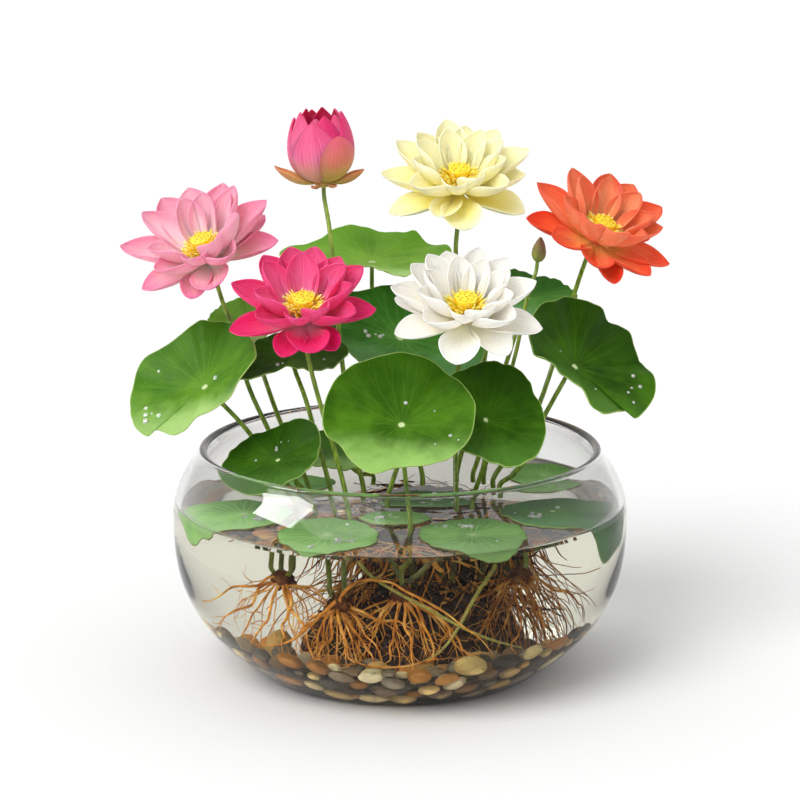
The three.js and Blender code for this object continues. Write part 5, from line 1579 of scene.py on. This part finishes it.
def make_flower(colour, stamen, seed):
    """Petals and their hub, the seed head in its ring of stamens, and the stalk."""
    flower = FLOWERS[colour]
    dice = random.Random(seed)
    petals = []
    for i, (azimuth, elevation, length, width) in enumerate(flower["petals"]):
        cup, curl = (0.24, 38) if elevation < 12 else (0.34, 50) if elevation < 40 else (0.4, 58)
        length *= PETAL_REACH - PETAL_REACH_BEHIND * max(0, math.sin(math.radians(azimuth)))
        petals.append(petal(azimuth, elevation, length, width * PETAL_FULLNESS, 0.11 * i, dice, cup, curl))
    petals.append(hub("hub", 0.45, 0.5))
    whorl = joined(painted(petals, *PETAL_PAINTS[colour]), colour + "_flower_whorl")
    head = seed_head(dice, stamen)
    head.name = colour + "_flower_heart"
    keep(set_down(whorl, flower), colour + "_petal", colour + "_flower_petals")
    keep(set_down(head, flower), "seed_head", colour + "_flower_seed_head")
    make_stalk(colour + "_flower_stalk", flower, 1.6, nodes=[colour + "_flower_stem"])


# ---- Buds ----

# The same for the buds.
BUD_COLOURS = {
    "pink_bud_petal": (
        (0.8, 0.36, 0.2), (0.93, 0.2, 0.36), (0.76, 0.04, 0.17), (0.72, 0.015, 0.14), (0.55, 0.01, 0.1),
    ),
    "pink_bud_inside": (
        (0.5, 0.04, 0.1), (0.5, 0.03, 0.1), (0.35, 0.01, 0.05), (0.45, 0.02, 0.08), (0.3, 0.0, 0.04),
    ),
    "pink_bud_husk": (
        (0.58, 0.44, 0.08), (0.84, 0.3, 0.2), (0.76, 0.22, 0.14), (0.85, 0.09, 0.2), (0.62, 0.16, 0.08),
    ),
    "sepal": ((0.5, 0.48, 0.1), (0.66, 0.46, 0.14), (0.5, 0.3, 0.08), (0.68, 0.22, 0.13), (0.4, 0.2, 0.05)),
    "green_bud_petal": (
        (0.3, 0.34, 0.06), (0.28, 0.27, 0.07), (0.2, 0.17, 0.05), (0.26, 0.09, 0.09), (0.12, 0.1, 0.03),
    ),
}
BUD_PAINTS = {name: petal_paint(name, *colours) for name, colours in BUD_COLOURS.items()}

PINK_BUD = {
    "at": (-50.5, 45, 316), "facing": (-0.06, 0, 1), "foot": (-24, -7, 113.9),
    "stem": [(-47, 40, 290), (-44, 34, 265), (-40, 14, 222), (-31, -5, 155)],
}
GREEN_BUD = {
    "at": (90, 25, 267), "facing": (0.12, -0.05, 1), "foot": (56, 27, 113.9),
    "stem": [(85, 22, 250), (76, 22, 205), (64, 24, 160)],
}


def bud_radius(share, widest, at, mouth):
    """Radius of a bud at a share of its height: round at its foot, widest, then drawn in to its mouth."""
    if share < at:
        return widest * math.sqrt(max(0, 1 - ((at - share) / at) ** 2.2))
    return widest - (widest - mouth) * ((share - at) / (1 - at)) ** 1.9


def bud_petal(azimuth, spread, top, layer, tall, widest, at, mouth, dice):
    """A petal wrapped round the bud, its tip at a share of the bud's height."""
    bpy.ops.mesh.primitive_grid_add(x_subdivisions=11, y_subdivisions=17, size=2)
    blade = added("bud_petal")

    def place(p):
        reach = (p.y + 1) / 2
        fullness = math.sin(math.pi * min(0.999, 0.12 + 0.88 * reach ** 0.9)) ** 0.78
        share = top * reach
        radius = bud_radius(share, widest, at, mouth) + layer - 1.1 * p.x ** 2
        turn = math.radians(azimuth + spread * p.x * fullness)
        return Vector((radius * math.cos(turn), radius * math.sin(turn), share * tall)) * MM

    move_points(blade, place)
    middle = blade.data.polygons[len(blade.data.polygons) // 2]
    if middle.normal.dot(Vector((middle.center.x, middle.center.y, 0))) < 0:
        blade.data.flip_normals()
    return thickened(blade, dice.random())


# Each bud's shape is its height, its widest radius and where that is, and the radius of its mouth. Its wraps
# are [azimuth, spread, top, layer], the innermost first.
PINK_BUD_SHAPE = (49, 21.4, 0.47, 13.5)
PINK_BUD_WRAPS = [
    (20, 64, 0.99, -2.4), (140, 62, 1.0, -2.4), (262, 60, 0.9, -2.2), (80, 60, 1.0, -1.6),
    (200, 62, 0.98, -1.4), (320, 60, 0.93, -1.2), (285, 52, 0.93, -0.4), (226, 50, 0.95, 0.2),
    (350, 50, 0.96, 0.5), (170, 50, 0.9, 0.7), (110, 52, 0.97, 0.6), (45, 50, 0.97, 0.7),
    (258, 56, 0.86, 1.0), (306, 62, 0.66, 1.4),
]
SEPALS = [(178, 24, 31, 18), (2, 16, 25, 18), (245, -4, 12, 6), (305, -4, 12, 6), (80, 30, 28, 14)]
GREEN_BUD_SHAPE = (16.5, 5.0, 0.36, 0.9)
GREEN_BUD_WRAPS = [(10, 80, 1, -0.5), (130, 80, 1, -0.5), (250, 80, 1, 0), (300, 60, 0.85, 0.3)]


def make_pink_bud():
    """Wrapped petals, of which the last is the husk, with sepals under them."""
    dice = random.Random(8)
    petals = [bud_petal(*wrap, *PINK_BUD_SHAPE, dice) for wrap in PINK_BUD_WRAPS]
    sepals = [petal(*sepal, 0.5, dice, 0.3, 72, 0.4) for sepal in SEPALS]
    sepals.append(hub("bud_base", 0.5, 0.3))
    husk = petals.pop()
    painted(petals, BUD_PAINTS["pink_bud_petal"], BUD_PAINTS["pink_bud_inside"])
    painted([husk], BUD_PAINTS["pink_bud_husk"], BUD_PAINTS["pink_bud_inside"])
    painted(sepals, BUD_PAINTS["sepal"], BUD_PAINTS["sepal"])
    whorl = joined([*petals, husk, *sepals], "pink_bud_whorl")
    keep(set_down(whorl, PINK_BUD), "pink_bud_petal", "pink_bud")
    make_stalk("pink_bud_stalk", PINK_BUD, 2.2, nodes=["pink_bud_stem"])


def make_green_bud():
    dice = random.Random(9)
    petals = [bud_petal(*wrap, *GREEN_BUD_SHAPE, dice) for wrap in GREEN_BUD_WRAPS]
    paint = BUD_PAINTS["green_bud_petal"]
    whorl = joined(painted(petals, paint, paint), "green_bud_whorl")
    keep(set_down(whorl, GREEN_BUD), "green_bud_petal", "green_bud")
    make_stalk("green_bud_stalk", GREEN_BUD, -1, 1.45)


# ---- The whole scene ----


def make_lamp(data, place):
    """A lamp that looks at the middle of the plant."""
    lamp = bpy.data.objects.new(data.name, data)
    lamp.location = place
    lamp.rotation_euler = (LAMPS_AIM - Vector(place)).to_track_quat("-Z", "Y").to_euler()
    bpy.context.scene.collection.objects.link(lamp)
    return lamp


def make_stage():
    """The floor, an even sky that is darker above, and two lamps from the left."""
    bpy.ops.mesh.primitive_plane_add(size=FLOOR_SIZE)
    floor = added("floor")
    floor.data.materials.append(floor_paint())
    sky = bpy.data.worlds.new("studio")
    bpy.context.scene.world = sky
    sky.use_nodes = True
    nodes, links = sky.node_tree.nodes, sky.node_tree.links
    direction, height = nodes.new("ShaderNodeTexCoord"), nodes.new("ShaderNodeSeparateXYZ")
    fade = nodes.new("ShaderNodeMapRange")
    for name, number in (
        ("From Min", 0.0), ("From Max", SKY_EVEN_FROM), ("To Min", SKY_LOW), ("To Max", SKY_HIGH),
    ):
        fade.inputs[name].default_value = number
    links.new(direction.outputs["Generated"], height.inputs["Vector"])
    links.new(height.outputs["Z"], fade.inputs["Value"])
    links.new(fade.outputs["Result"], nodes["Background"].inputs["Strength"])
    nodes["Background"].inputs["Color"].default_value = (1, 1, 1, 1)
    sun = bpy.data.lights.new("sun", "SUN")
    sun.energy = SUN_POWER
    sun.angle = SUN_WIDTH
    softbox = bpy.data.lights.new("softbox", "AREA")
    softbox.shape = "RECTANGLE"
    softbox.size, softbox.size_y = SOFTBOX_SIZE
    softbox.energy = SOFTBOX_POWER
    make_lamp(sun, SUN_AT).visible_glossy = False  # no round sun shows in the glass
    make_lamp(softbox, SOFTBOX_AT).visible_diffuse = False  # it only shows as a window there


def make_camera():
    data = bpy.data.cameras.new("camera")
    data.lens = LENS
    data.sensor_width = SENSOR
    data.clip_end = FAR_ENOUGH
    camera = bpy.data.objects.new("camera", data)
    camera.location = (0, -CAMERA_DISTANCE * math.cos(PITCH), AIM_HEIGHT + CAMERA_DISTANCE * math.sin(PITCH))
    camera.rotation_euler = (math.pi / 2 - PITCH, 0, 0)
    bpy.context.scene.collection.objects.link(camera)
    bpy.context.scene.camera = camera


bpy.context.scene.view_settings.view_transform = "Standard"
make_camera()
make_stage()
make_bowl()
make_water()
make_pebbles()
make_soil()
make_root_mat()
for seed, crown in enumerate(CROWNS):
    make_crown(crown, 40 + seed)
make_runners()
make_leaves()
stamen = stamen_model()
for seed, colour in enumerate(FLOWERS):
    make_flower(colour, stamen, 60 + seed)
bpy.data.objects.remove(stamen)
make_pink_bud()
make_green_bud()
